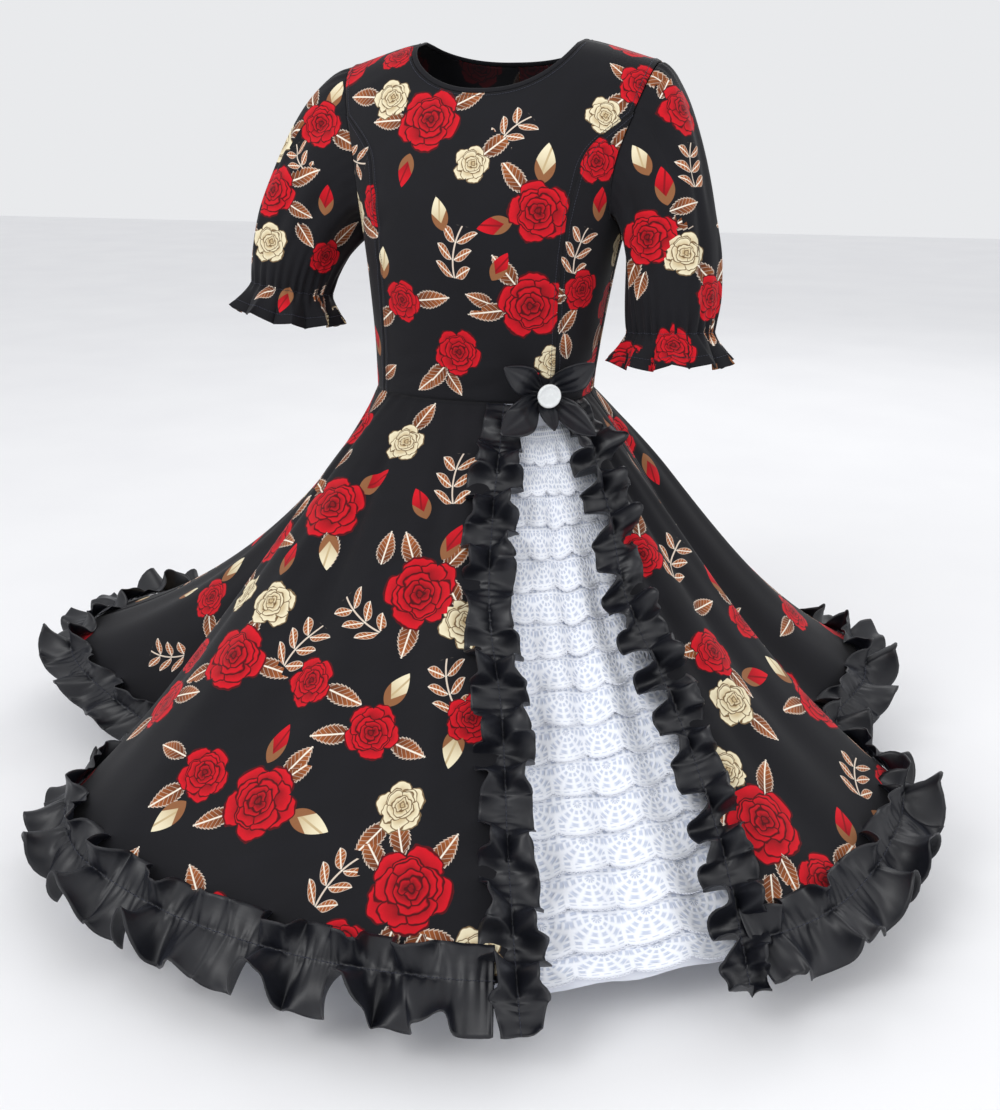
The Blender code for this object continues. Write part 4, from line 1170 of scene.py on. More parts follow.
def neck_binding():
    half = BINDING_STEPS
    loop, out = [], []
    for step in range(-half, 3 * half):
        corner = step % (2 * half) == half
        share = step / half if step <= half else 2 - step / half
        faces = (1, -1) if corner else (1 if step < half else -1,)
        found = [neck_point(share, face) for face in faces]
        loop.append(np.mean([point for point, _ in found], axis=0))
        out.append(np.mean([way for _, way in found], axis=0))
    loop, out = np.array(loop), np.array(out)
    for _ in range(4):
        out = (np.roll(out, 1, axis=0) + 2 * out + np.roll(out, -1, axis=0)) / 4
    ahead = np.roll(loop, -1, axis=0) - np.roll(loop, 1, axis=0)
    inward = unit(np.cross(out, ahead))
    out = unit(np.cross(ahead, inward))
    rows = []
    for deep, side in BINDING_PROFILE:
        rows.append(loop + inward * (BINDING_GAP + deep * BINDING_WIDTH) + out * side * BINDING_DEPTH / 2)
    grid = np.array(rows)
    grid = np.concatenate([grid, grid[:, :1]], axis=1)
    count, columns = grid.shape[0] - 1, grid.shape[1] - 1
    index = np.arange(count * columns).reshape(count, columns)
    index = np.pad(index, ((0, 1), (0, 1)), mode="wrap").T
    mesh = bpy.data.meshes.new("neck_binding")
    faces = np.stack(corners(index), -1).reshape(-1, 4)
    mesh.from_pydata(grid[:-1, :-1].reshape(-1, 3).tolist(), [], faces.tolist())
    u = lengths(grid, 1)
    threads = np.stack([u, np.arange(count + 1)[:, None] * BINDING_ROW + 0 * u], -1).swapaxes(0, 1)
    mesh.uv_layers.new(name="threads").data.foreach_set("uv", corner_floats(threads))
    mesh.materials.append(PRINT[0])
    mesh.shade_smooth()
    shape = bmesh.new()
    shape.from_mesh(mesh)
    bmesh.ops.recalc_face_normals(shape, faces=shape.faces)
    shape.to_mesh(mesh)
    shape.free()
    piece = add_object("neck_binding_cloth", mesh)
    stands_for(piece, "neck_binding")
    wide = float(lengths(loop)[-1])
    note_cut("neck_binding", wide, BINDING_CUT, wide * BINDING_CUT)
    PIECES["neck_binding"] = piece
    return loop, out, inward


NECK_LOOP, NECK_OUT, NECK_IN = neck_binding()
print("neck binding:", round(float(lengths(NECK_LOOP)[-1]), 3), "m")

# %% [markdown]
# ## The sleeves
# Each sleeve is one tube of cloth. It is gathered a little over the shoulder and tightly
# round the arm by an elastic, and its end is left free as a frill. The gathers are waves
# that are strong at the stitching and fade away from it, and the big soft folds hang
# between the two.

# %% Puff sleeves
SLEEVE_RADIUS = 0.050
INNER_PUSH = 0.014
OUTER_FALL = 0.120
INNER_FALL = 0.045
SLEEVE_PUFF = 0.024
FRILL_LENGTH = 0.038
FRILL_FLARE = 0.019
FRILL_WAVE = 0.0090
FRILL_WAVES = 10
FRILL_CURL = 0.004
FRILL_HEM_DIP = 0.5 * MM
FRILL_HEM_AT = 0.74
SLEEVE_FOLD_GAIN = 1.35
SLEEVE_TURNS = 240
SLEEVE_DOWN = 46
FRILL_ROWS = 14
# Each row holds the angle and share where a fold starts and ends, its width in degrees, and
# its depth in mm. The folds of the skirt and the lace are written the same way.
SLEEVE_FOLDS = (
    (-52, 0.12, -30, 0.62, 9, -4.5),
    (-24, 0.30, -8, 0.90, 8, -4.0),
    (4, 0.16, 16, 0.72, 10, -3.6),
    (30, 0.34, 36, 0.92, 8, -4.2),
    (58, 0.10, 50, 0.56, 9, -4.4),
    (80, 0.36, 74, 0.88, 9, -3.8),
    (112, 0.22, 100, 0.80, 10, -3.0),
    (-82, 0.30, -70, 0.86, 9, -4.0),
    (-112, 0.20, -102, 0.78, 10, -3.0),
    (150, 0.30, 146, 0.90, 12, -2.0),
    (-146, 0.28, -150, 0.86, 12, -2.2),
    (-6, 0.66, -2, 0.98, 6, 3.0),
    (46, 0.62, 50, 0.97, 6, 3.2),
    (-48, 0.70, -44, 0.98, 6, 3.0),
)


def fold_depth(rows, angle, share, sway, starts, ends):
    """Soft folds down the cloth. sway holds how far and how often a fold wanders aside."""
    depth = 0
    for angle_from, from_share, angle_to, to_share, width, tall in rows:
        along = (share - from_share) / (to_share - from_share)
        middle = angle_from + (angle_to - angle_from) * along
        middle = middle + sway[0] * np.sin(sway[1] * along + angle_from)
        off = (angle - middle + HALF_TURN) % FULL_TURN - HALF_TURN
        shown = fade(along, *starts) * (1 - fade(along, *ends))
        depth = depth + tall * MM * np.exp(-((off / (width * sway[2])) ** 2)) * shown
    return depth


def spread(line, count):
    """Points at even distances along a line of points, ends included."""
    length = lengths(line)
    spots = np.linspace(0, length[-1], count + 1)
    return np.stack([np.interp(spots, length, line[:, axis]) for axis in range(3)], -1)


def sleeve(name, side, x, y, z, tilt, cap_push):
    count = SLEEVE_TURNS
    front, back = (spread(line, count // 2) for line in armholes[side])
    start = np.concatenate([front[:-1], back[:0:-1]])
    start[0], start[count // 2] = (front[0] + back[0]) / 2, (front[-1] + back[-1]) / 2
    angle = np.arange(count) * 2 * math.pi / count
    degrees = (np.degrees(angle) + HALF_TURN) % FULL_TURN - HALF_TURN
    outer = 0.5 + 0.5 * np.cos(angle)
    axis = unit(np.array([side * tilt, -0.10, -1.0]))
    sideways = np.array([side, 0.0, 0.0])
    across = unit(sideways - axis * side * axis[0])
    radial = np.cos(angle)[:, None] * across + np.sin(angle)[:, None] * np.cross(axis, across) * side
    gather = np.array([x, y, z]) + radial * SLEEVE_RADIUS
    push = INNER_PUSH + (cap_push - INNER_PUSH) * outer
    leave = sideways * push[:, None]
    fall = INNER_FALL + (OUTER_FALL - INNER_FALL) * outer
    arrive = -axis * fall[:, None] + radial * SLEEVE_PUFF * (0.35 + 0.65 * outer)[:, None]
    inward = unit(start.mean(axis=0) - start)
    first = start + inward * ARMHOLE_GAP + sideways * ARMHOLE_GAP / 2
    rows = []
    shares = 1 - (1 - np.linspace(0, 1, SLEEVE_DOWN) ** 1.1) ** 1.25
    for u in shares:
        rows.append(first * (1 - u) ** 3 + (first + leave) * 3 * u * (1 - u) ** 2
                    + (gather + arrive) * 3 * u**2 * (1 - u) + gather * u**3)
    body = np.array(rows)
    out = outward(np.concatenate([body, body[:, :1]], 1), closed=True)[:, :-1]
    if (out[SLEEVE_DOWN // 2] * radial).sum() < 0:
        out = -out
    folds = fold_depth(SLEEVE_FOLDS, degrees[None], shares[:, None], (2.5, 3, 1), (-0.1, 0.4), (0.7, 1.1))
    depth = SLEEVE_FOLD_GAIN * folds
    gathers = np.sin(29 * angle + 1.4 * np.sin(3 * angle) + side)[None]
    finer = np.sin(47 * angle + 2.1 * np.sin(2 * angle))[None]
    from_seam = lengths(body, 0)
    to_elastic = from_seam[-1:] - from_seam
    depth = depth + (1.9 * gathers + 0.5 * finer) * MM * np.exp(-((to_elastic / 0.034) ** 1.3))
    cap = (0.3 + 0.7 * np.clip(np.cos(angle), 0, 1) ** 2) * np.sin(37 * angle + np.sin(5 * angle))
    at_cap = np.exp(-((from_seam / 0.022) ** 1.4)) * fade(from_seam, 0, 0.004)
    depth = depth + 1.1 * MM * cap[None] * at_cap
    body = body + out * depth[..., None]
    phase = FRILL_WAVES * angle + 0.6 * np.sin(2 * angle)
    wave = np.sin(phase)
    small = 1.3 * np.sin(23 * angle + 2 * np.sin(angle))
    turn = np.cross(axis, radial) * side
    frill = []
    for t in np.linspace(0, 1, FRILL_ROWS + 1)[1:]:
        pinched = 1.7 * gathers[0] * np.exp(-t * 3.2) + 0.5 * finer[0] * np.exp(-t * 4) + small * t
        hem = FRILL_HEM_DIP * math.exp(-(((t - FRILL_HEM_AT) / 0.05) ** 2))
        reach = FRILL_FLARE * t + FRILL_WAVE * wave * t**1.2 + pinched * MM - hem
        curl = FRILL_CURL * t**1.5 * np.sin(2 * phase)
        drop = FRILL_LENGTH * (1 + 0.06 * np.cos(3 * angle) - 0.11 * wave * t) * t
        frill.append(gather + axis * drop[:, None] + radial * reach[:, None] + turn * curl[:, None])
    grid = np.concatenate([body, np.array(frill)])
    grid = np.concatenate([grid, grid[:, :1]], axis=1)
    cloth(name, grid, PRINT_WALL, PRINT, closed=True)


for row in SLEEVE_ROWS:
    sleeve(*row)
print("sleeves:", CUTS[-2:])

# %% [markdown]
# ## The skirt
# A full circle of cloth hangs in broad lobes. The lobes are in the form itself. Over them
# go long soft folds that start narrow at the waist seam and widen towards the hem, placed
# round the whole skirt, the back as well as the front.

# %% Skirt folds and panels
SKIRT_FOLDS = (
    (-86, 0.02, -84, 0.92, 3.5, -5.0),
    (-74, 0.04, -72, 0.80, 3.0, 4.0),
    (-60, 0.02, -64, 0.95, 3.8, -6.0),
    (-50, 0.10, -53, 0.60, 2.6, 3.0),
    (-41, 0.02, -40, 0.88, 3.6, -5.0),
    (-30, 0.16, -27, 0.98, 3.0, 4.0),
    (-20, 0.02, -17, 0.72, 3.4, -5.0),
    (-9, 0.25, -8, 0.98, 3.4, 3.6),
    (0, 0.02, 2, 0.84, 3.6, -4.6),
    (9, 0.12, 10, 0.95, 2.6, 3.2),
    (55, 0.03, 58, 0.98, 2.6, -4.4),
    (66, 0.02, 70, 0.90, 3.4, -5.2),
    (75, 0.10, 79, 0.98, 3.0, 3.6),
    (84, 0.02, 86, 0.75, 3.2, -5.0),
    (98, 0.02, 97, 0.95, 4.0, -6.0),
    (110, 0.08, 111, 0.80, 3.2, 4.4),
    (124, 0.02, 126, 0.96, 4.0, -5.4),
    (140, 0.10, 138, 0.85, 3.6, -5.0),
    (152, 0.02, 150, 0.90, 3.4, 4.0),
    (166, 0.04, 168, 0.96, 4.0, -5.6),
    (181, 0.02, 180, 0.70, 3.4, 4.2),
    (194, 0.05, 193, 0.94, 4.0, -5.6),
    (208, 0.02, 210, 0.86, 3.2, 4.2),
    (224, 0.03, 222, 0.96, 4.0, -5.8),
    (238, 0.06, 239, 0.80, 3.2, 3.8),
    (252, 0.02, 251, 0.92, 3.8, -5.0),
)


SKIRT_FOLD_GAIN = 1.3


def skirt_folds(azimuth, share):
    """How far out the listed folds move the skirt there."""
    sway = (1.2, 2.6, 0.55 + 0.6 * np.clip(share, 0, 1))
    depth = fold_depth(SKIRT_FOLDS, azimuth, share, sway, (-0.05, 0.3), (0.75, 1.1))
    turn = np.radians(azimuth)
    tucks = 0.6 * MM * np.sin(turn * 46 + 1.5 * np.sin(turn * 5))
    return SKIRT_FOLD_GAIN * depth + tucks * np.exp(-share / 0.05) * fade(share, 0, 0.01)


def skirt_point(azimuth, share):
    """The finished skirt's surface, and its ways round, down and out."""
    azimuth, share = np.broadcast_arrays(np.asarray(azimuth, float), np.asarray(share, float))
    point, around, down, out, _, slope = skirt_frame(azimuth, share)
    return point + out * skirt_folds(azimuth, np.clip(share, 0, 1))[..., None], around, down, out, slope


SKIRT_DOWN = 84
SKIRT_STEP = 1.25
FIRST_GUESS = 0.93


def skirt_panel(name):
    low, high = panel_edges(name, np.array([1.0]))
    columns = int(math.ceil((high[0] - low[0]) / SKIRT_STEP))
    across = np.linspace(0, 1, columns + 1)
    rows = []
    for down in np.linspace(0, 1, SKIRT_DOWN + 1):
        share = np.full_like(across, down * FIRST_GUESS)
        for _ in range(3):
            low, high = panel_edges(name, share)
            azimuth = low + (high - low) * across
            share = down * gather_share(azimuth)
        rows.append(skirt_point(azimuth, share)[0])
    rows[0][:, 2] += WAIST_GAP + SEAM
    cloth(name, np.array(rows), PRINT_WALL, PRINT)


for name in ("skirt_front_right", "skirt_front_left", "skirt_back"):
    skirt_panel(name)
print("skirt:", CUTS[-3:])

# %% [markdown]
# ## The ruffles
# Each ruffle is a straight strip with both edges hemmed, gathered by a line of stitches
# along its middle, as on a curtain heading. Near the stitches the cloth is pinched into
# small puckers. Away from them it opens into deep waves, and where a wave is full it curls
# over a little to both sides. Three waves make that: the big one, a finer one, and puckers
# that die away from the stitches.

# %% Ruffle waves
HEM_WAVE_PITCH = 0.078
# The strip's width there, the swing, its middle and its big wave, and the curl.
HEADER_SWING = (HEM_HEADER, 0.011, 1.2, 1.1, 0.5)
FALL_SWING = (HEM_FALL, 0.019, 0.3, 1.2, 0.6)
PUCKER_DIES = 2.6
HEM_CURL = 0.009
HEM_END_LENGTH = 0.022
CORNER = 2.3
RUFFLE_LIFT = 3.0 * MM
SLIT_RUFFLE_LIFT = 1.9 * MM
RUFFLE_WALL = 1.2 * MM
HEADER_ROWS = 9
HEADER_ACROSS = np.linspace(-1, 0, HEADER_ROWS + 1)[:-1] * HEM_HEADER
HEM_ACROSS = np.concatenate([HEADER_ACROSS, np.linspace(0, 1, 14) * HEM_FALL])


def wave_phase(share, waves, seed):
    """The angle along a row of waves that are a little uneven in width."""
    uneven = 0.35 * np.sin(2 * math.pi * (2.3 * share + 0.17 * seed))
    uneven += 0.25 * np.sin(2 * math.pi * (5.1 * share + 0.41 * seed))
    return 2 * math.pi * waves * share + uneven


def puckers(spots, seed):
    """Small pinches along a gathering thread, about a centimetre apart."""
    wander = 1.6 * np.sin(spots * 31 + seed) + 1.1 * np.sin(spots * 74 + 2 * seed)
    turns = 2 * math.pi * spots
    return 0.7 * np.sin(turns / 0.0098 + wander) + 0.3 * np.sin(turns / 0.0061 - wander)


def opening(phase, slant, across, t, seed, start, middle, big):
    """How far the waves swing out at t of the way to an edge, and how they curl there."""
    turned = phase + slant * across
    second = 0.5 * np.sin(1.63 * phase + start + seed - slant * t)
    flutter = 0.26 * t * t * np.sin(3.3 * phase + 2 * seed)
    flutter = flutter + 0.35 * math.sin(math.pi * t) * np.cos(turned + seed)
    return t**0.85 * (middle + big * np.sin(turned) + second + flutter), t * np.sin(2 * turned)


def drawn_back(strip, push):
    """How far a strip's edge draws back towards the stitches when it swings out."""
    return strip - np.sqrt(np.maximum(strip**2 - push**2, (0.5 * strip) ** 2))


def hem_ruffle(name, azimuth_from, azimuth_to, seed):
    fine = np.linspace(azimuth_from, azimuth_to, 700)
    length = lengths(fall_point(fine, gather_share(fine)))
    waves = max(1, round(length[-1] / HEM_WAVE_PITCH))
    spots = np.linspace(0, length[-1], int(length[-1] / (2.3 * MM)))
    azimuth = np.interp(spots, length, fine)
    phase = wave_phase(spots / length[-1], waves, seed)
    size_drift = 1 + 0.20 * np.sin(spots * 19 + seed) + 0.14 * np.sin(spots * 47 + 2 * seed)
    slant = 0.9 * np.sin(spots * 21 + seed) + 0.5 * np.sin(spots * 8 + 3 * seed)
    stitched = gather_share(azimuth)
    slope = skirt_frame(azimuth, np.full_like(azimuth, NEAR_THE_HEM))[5]
    grow = np.clip(np.minimum(spots, length[-1] - spots) / HEM_END_LENGTH, 0.45, 1) * size_drift
    pinch = puckers(spots, seed)
    rows = []
    for across in HEM_ACROSS:
        base, around, down, out, _ = skirt_point(azimuth, stitched + across / slope)
        strip, wave, middle, big, bend = HEADER_SWING if across <= 0 else FALL_SWING
        t = abs(across) / strip
        swing, curl = opening(phase, slant, across / HEM_FALL, t, seed, 1.1, middle, big)
        fine_wave = 0.7 * MM * (t > 0) * np.sin(spots * 210 + seed) * math.exp(-t)
        push = grow * wave * swing + 1.5 * MM * pinch * math.exp(-t * PUCKER_DIES) + fine_wave
        curl = -bend * HEM_CURL * grow * curl
        back = drawn_back(abs(across), push) * np.sign(across)
        swung = out * (RUFFLE_LIFT + push)[:, None] + around * curl[:, None]
        rows.append(base + swung - down * back[:, None])
    cloth(name, np.array(rows), RUFFLE_WALL, [SATIN])


# Each row holds the panel and how much is left free at each end for the opening's ruffle.
HEM_RUFFLES = (("front_right", 0, CORNER), ("front_left", CORNER, 0), ("back", 0, 0))
for seed, (panel, free_from, free_to) in enumerate(HEM_RUFFLES, 1):
    edge_from, edge_to = (edge[0] for edge in panel_edges("skirt_" + panel, np.array([1.0])))
    hem_ruffle("ruffle_hem_" + panel, edge_from + free_from, edge_to - free_to, seed)
print("hem ruffles:", CUTS[-3:])

# %% Ruffles down the opening
SLIT_HALF_WIDTH = 0.030
SLIT_WAVE = 0.011
SLIT_CURL = 0.0039
SLIT_STITCH_ROW = 9
SLIT_RUFFLE_TOP = 0.004
SLIT_GROW_LENGTH = 0.070


def slit_ruffle(name, edge, inward, waves, seed):
    fine = np.linspace(SLIT_RUFFLE_TOP, 1.0, 300)
    length = lengths(fall_point(slit_azimuth(edge, fine), fine))
    spots = np.linspace(0, length[-1], int(length[-1] / (2.0 * MM)))
    share = np.interp(spots, length, fine)
    azimuth = slit_azimuth(edge, share)
    phase = wave_phase(spots / length[-1], waves, seed)
    grow = np.clip(spots / SLIT_GROW_LENGTH, 0.15, 1)
    grow = grow * (1 + 0.18 * np.sin(spots * 27 + seed) + 0.12 * np.sin(spots * 61 + 2 * seed))
    slant = 0.8 * np.sin(spots * 24 + seed) + 0.5 * np.sin(spots * 9 + 3 * seed)
    reach = skirt_frame(azimuth, share)[4]
    pinch = puckers(spots, seed)
    rows = []
    narrowed = (0.58 + 0.42 * grow) * (1 - 0.35 * fade(spots, spots[-1] - 0.035, spots[-1]))
    for across in np.linspace(-1, 1, 2 * SLIT_STITCH_ROW + 1):
        t = abs(across)
        shift = across * inward * SLIT_HALF_WIDTH * narrowed / reach
        base, around, down, out, _ = skirt_point(azimuth + shift, share)
        middle = 1.35 if across < 0 else 0.9
        swing, curl = opening(phase, slant, across, t, seed, 0.7, middle, 1.25)
        push = grow * SLIT_WAVE * swing + 1.3 * MM * pinch * math.exp(-t * PUCKER_DIES)
        curl = -SLIT_CURL * grow * curl
        back = drawn_back(t * SLIT_HALF_WIDTH, push) * np.sign(across) * inward
        swung = out * (SLIT_RUFFLE_LIFT + push)[:, None] + down * curl[:, None]
        rows.append(base + swung - around * back[:, None])
    cloth(name, np.array(rows), RUFFLE_WALL, [SATIN])


slit_ruffle("ruffle_slit_right", "right_edge", 1, 11, 4)
slit_ruffle("ruffle_slit_left", "left_edge", -1, 13, 5)
print("slit ruffles:", CUTS[-2:])

# %% [markdown]
# ## The underskirt and its lace
# The underskirt is a plain white circle, smaller than the skirt. Tier after tier of gathered
# lace is stitched on where the skirt opens. Underskirt and lace share the same folds, so the
# tiers ride on it instead of cutting through.

# %% The underskirt
UNDERSKIRT_INSET = 0.045
UNDERSKIRT_PULL_LESS = 0.10
UNDERSKIRT_WAIST_INSET = 2.1 * MM
UNDERSKIRT_END = 0.985
UNDERSKIRT_PEEP = (-36.0, 12.0, 0.034)
LACE_SPAN = (8.0, 57.0)
LACE_SPAN_TOP = (19.0, 58.0)
LACE_SPAN_REACHED = 0.16
LACE_TIERS = 16
LACE_OVERLAP = 0.30
LACE_SCALLOPS = 8
SCALLOP_STEPS = 14
LACE_ROWS = 9
LACE_SCALLOP_DEPTH = 0.006
LACE_LIFT = 1.9 * MM
LACE_WALL = 0.8 * MM
LACE_TOP = 0.030
LACE_FROM_HEM = 2 * MM
LACE_FOLDS = (
    (36, 0.10, 33, 0.98, 2.6, -9.0),
    (26, 0.25, 24, 0.98, 2.2, -6.5),
    (44, 0.30, 42.5, 0.98, 2.4, -7.0),
    (30.5, 0.20, 29, 0.98, 2.0, 3.5),
    (39.5, 0.30, 37.5, 0.98, 2.0, 3.5),
    (20, 0.40, 19, 0.98, 2.0, 3.0),
)


NEVER = (9.0, 10.0)


def under_point(azimuth, share):
    """The underskirt: the skirt's form, set in, with the folds of the lace front."""
    azimuth, share = np.broadcast_arrays(np.asarray(azimuth, float), np.asarray(share, float))
    centre, wide, drop = UNDERSKIRT_PEEP
    away = (azimuth - centre + HALF_TURN) % FULL_TURN - HALF_TURN
    peep = np.exp(-((away / wide) ** 2))
    point, around, down, out, _, _ = skirt_frame(
        azimuth, share, radius_less=UNDERSKIRT_INSET * (1 - 0.6 * peep), extra_z=-drop * peep,
        waist_less=UNDERSKIRT_WAIST_INSET, pull_less=UNDERSKIRT_PULL_LESS,
    )
    depth = fold_depth(LACE_FOLDS, azimuth, share, (0, 0, 1), (-0.1, 0.5), NEVER)
    depth = depth + 1.5 * MM * np.sin(np.radians(azimuth) * 24) * share
    return point + out * depth[..., None], around, down, out


azimuth = np.linspace(-HALF_TURN, HALF_TURN, 241)
under = under_point(azimuth[None], np.linspace(0, UNDERSKIRT_END, 41)[:, None])[0]
under[:, -1] = under[:, 0]
cloth("underskirt", under, 1.0 * MM, [COTTON], closed=True)
print("underskirt:", CUTS[-1])

# %% Tiers of lace
LACE_EDGES = []


def store(mesh, title, values):
    """Keeps three numbers for each corner of each face, for a material to read."""
    mesh.attributes.new(title, "FLOAT_VECTOR", "CORNER").data.foreach_set("vector", values)


fine = np.linspace(0, UNDERSKIRT_END, 300)
under_length = lengths(under_point(np.full_like(fine, sum(LACE_SPAN) / 2), fine)[0])
tier_height = (under_length[-1] - LACE_TOP) / LACE_TIERS


def lace_tier(index):
    name = f"lace_tier_{index + 1:02d}"
    top = LACE_TOP + tier_height * index
    last = index == LACE_TIERS - 1
    low = top + tier_height - LACE_FROM_HEM if last else top + tier_height * (1 + LACE_OVERLAP)
    across = np.linspace(0, 1, LACE_SCALLOPS * SCALLOP_STEPS + 1)
    wide = min(1.0, top / under_length[-1] / LACE_SPAN_REACHED)
    start, end = (a + (b - a) * wide for a, b in zip(LACE_SPAN_TOP, LACE_SPAN))
    azimuth = start + (end - start) * across
    lobe = np.abs(np.sin(math.pi * LACE_SCALLOPS * across)) ** 0.7
    gather = np.sin(2 * math.pi * 33 * across + 1.7 * np.sin(13 * across + index))
    flute = np.sin(math.pi * LACE_SCALLOPS * across + 1.3 * index + 0.8 * np.sin(9 * across + index))
    drift = 0 if last else 1.6 * MM * np.sin(17 * across + 2.3 * index)
    scallop = LACE_SCALLOP_DEPTH * (lobe - 1) / under_length[-1]
    rows = []
    for t in np.linspace(0, 1, LACE_ROWS):
        distance = top + (low - top) * t + drift * t
        base, _, _, out = under_point(azimuth, np.interp(distance, under_length, fine) + scallop * t**2)
        lift = LACE_LIFT + (4.6 * t + 0.5 * gather * (1 - t) + 1.9 * t * flute) * MM
        rows.append(base + out * lift[:, None])
    piece = cloth(name, np.array(rows), LACE_WALL, [LACE])
    grid, way = FORMS[name]
    u, v = np.meshgrid(LACE_SCALLOPS * across, np.linspace(0, 1, LACE_ROWS))
    store(piece.data, "lace_at", corner_floats(np.stack([u, v, 0 * u], -1)))
    LACE_EDGES.append(grid[-1] + way[-1] * 0.3 * MM)


for tier in range(LACE_TIERS):
    lace_tier(tier)
tier_mm = round(tier_height * (1 + LACE_OVERLAP) * 1000)
print("lace tiers:", len(LACE_EDGES), "each about", tier_mm, "mm deep")

# %% [markdown]
# ## The flower
# A folded fabric flower hides the top of the opening. Each petal is a pointed piece of
# satin, pleated where it goes in under the button, folded softly along its middle, and laid
# over the flare of the skirt. The button is a turned disc with a rim and a dished face.

# %% Petals
FLOWER_PHI = 42.0
FLOWER_Z = -0.408
# Each row holds the petal's angle in degrees, its length, its width and its lift.
PETAL_ROWS = (
    (146, 0.068, 0.034, 0.0),
    (34, 0.066, 0.034, 0.0),
    (207, 0.076, 0.034, 0.0029),
    (318, 0.062, 0.030, 0.0029),
    (264, 0.034, 0.022, 0.0091),
)
PETAL_ROOT = 6 * MM
PETAL_FOOT = 2.7 * MM
PETAL_STAND_OFF = 0.020
PETAL_RISE = (0.013, 0.030)


def flower_frame():
    phi = math.radians(FLOWER_PHI)
    near = torso(phi + 0.03, FLOWER_Z, 1) - torso(phi - 0.03, FLOWER_Z, 1)
    across = near / np.linalg.norm(near)
    up = np.array([0.0, 0.0, 1.0])
    return torso(phi, FLOWER_Z, 1), across, up, np.cross(across, up)


def petal(index, angle, length, width, lift):
    centre, across, up, out = flower_frame()
    turn = math.radians(angle)
    ahead = across * math.cos(turn) + up * math.sin(turn)
    sideways = np.cross(out, ahead)
    rows = []
    for u in np.linspace(0, 1, 34):
        reach = PETAL_ROOT + (length - PETAL_ROOT) * u
        half = max(1.2 * MM, 0.5 * width * math.sin(math.pi * (0.05 + 0.94 * u)) ** 0.9)
        climb = np.clip((reach - PETAL_RISE[0]) / PETAL_RISE[1], 0, 1)
        rise = PETAL_FOOT + lift + PETAL_STAND_OFF * climb**2 * (3 - 2 * climb)
        row = []
        for v in np.linspace(-1, 1, 23):
            flat = ahead * reach + sideways * half * v
            cup = 3 * MM * (1 - v * v) * math.sin(math.pi * u) * climb
            fold = 1.6 * MM * math.exp(-((v / 0.16) ** 2)) * math.sin(math.pi * min(1, u * 1.1))
            pleat = 0.9 * MM * math.sin(v * math.pi * 3.5 + index) * (1 - u) ** 1.5 * min(1, u * 8)
            roll = 1.8 * MM * abs(v) ** 5 * math.sin(math.pi * u)
            slant = max(0.0, WAIST_Z - FLOWER_Z - float(flat[2]))
            row.append(centre + flat + out * (rise - cup + fold + pleat + roll + slant))
        rows.append(row)
    cloth(f"flower_petal_{index + 1}", np.array(rows), 1.6 * MM, [SATIN])


for number, row in enumerate(PETAL_ROWS):
    petal(number, *row)
print("petals:", len(PETAL_ROWS))

# %% The button
BUTTON_RADIUS = 0.0145
BUTTON_THICKNESS = 4.2 * MM
BUTTON_LEAN = 3.0 * MM
BUTTON_PROFILE = (
    (0.0, 0.74), (0.35, 0.75), (0.62, 0.79), (0.74, 0.86), (0.80, 0.96), (0.87, 1.0), (0.93, 0.96),
    (0.975, 0.84), (1.0, 0.66), (1.0, 0.36), (0.975, 0.14), (0.92, 0.0), (0.0, 0.0),
)


def glossy_button():
    material, wire, shader = new_material("button_white")
    place = wire.add("ShaderNodeTexCoord").outputs["Object"]
    cloudy = wire.add("ShaderNodeTexNoise", Vector=place, Scale=240.0, Detail=3.0).outputs[0]
    wire.put(shader["Base Color"], wire.mix(cloudy, colour(214, 217, 218), colour(238, 240, 239)))
    wire.put(shader["Roughness"], wire.math("MULTIPLY_ADD", cloudy, 0.12, 0.20))
    bump = wire.add("ShaderNodeBump", Height=cloudy, Strength=0.08, Distance=0.2 * MM)
    wire.put(shader["Normal"], bump.outputs[0])
    shader["Coat Weight"].default_value = 0.3
    return material


def button():
    centre, across, up, out = flower_frame()
    foot = PETAL_FOOT + PETAL_ROWS[-1][3] + 1.0 * MM + BUTTON_LEAN
    turns = np.linspace(0, 2 * math.pi, 64, endpoint=False)
    ways = across[None] * np.cos(turns)[:, None] + up[None] * np.sin(turns)[:, None]
    rings = []
    for wide, high in BUTTON_PROFILE:
        rings.append(centre + out * (foot + high * BUTTON_THICKNESS) + ways * wide * BUTTON_RADIUS)
    shape = bmesh.new()
    loops = [[shape.verts.new(p) for p in ring] for ring in rings]
    for upper, lower in zip(loops, loops[1:]):
        for i in range(64):
            shape.faces.new((upper[i], lower[i], lower[(i + 1) % 64], upper[(i + 1) % 64]))
    bmesh.ops.remove_doubles(shape, verts=shape.verts, dist=1e-6)
    bmesh.ops.dissolve_degenerate(shape, edges=shape.edges, dist=1e-7)
    bmesh.ops.recalc_face_normals(shape, faces=shape.faces)
    mesh = bpy.data.meshes.new("button_turned")
    shape.to_mesh(mesh)
    shape.free()
    mesh.materials.append(glossy_button())
    mesh.shade_smooth()
    stands_for(add_object("button_turned", mesh), "button")


button()
print("button:", round(2000 * BUTTON_RADIUS), "mm across")

# %% [markdown]
# ## Placing the print
# The list gives each motif that the picture shows: its kind, where it shows, how wide it is
# in centimetres, and which way its top points. The camera finds the spot of cloth behind
# that place in the picture. The motif is then fixed to the cloth in space, so it stays put
# when the dress is seen from any side. A stamp lies flat on the cloth there, and each face
# near it stores its own place on the stamp, corner by corner.

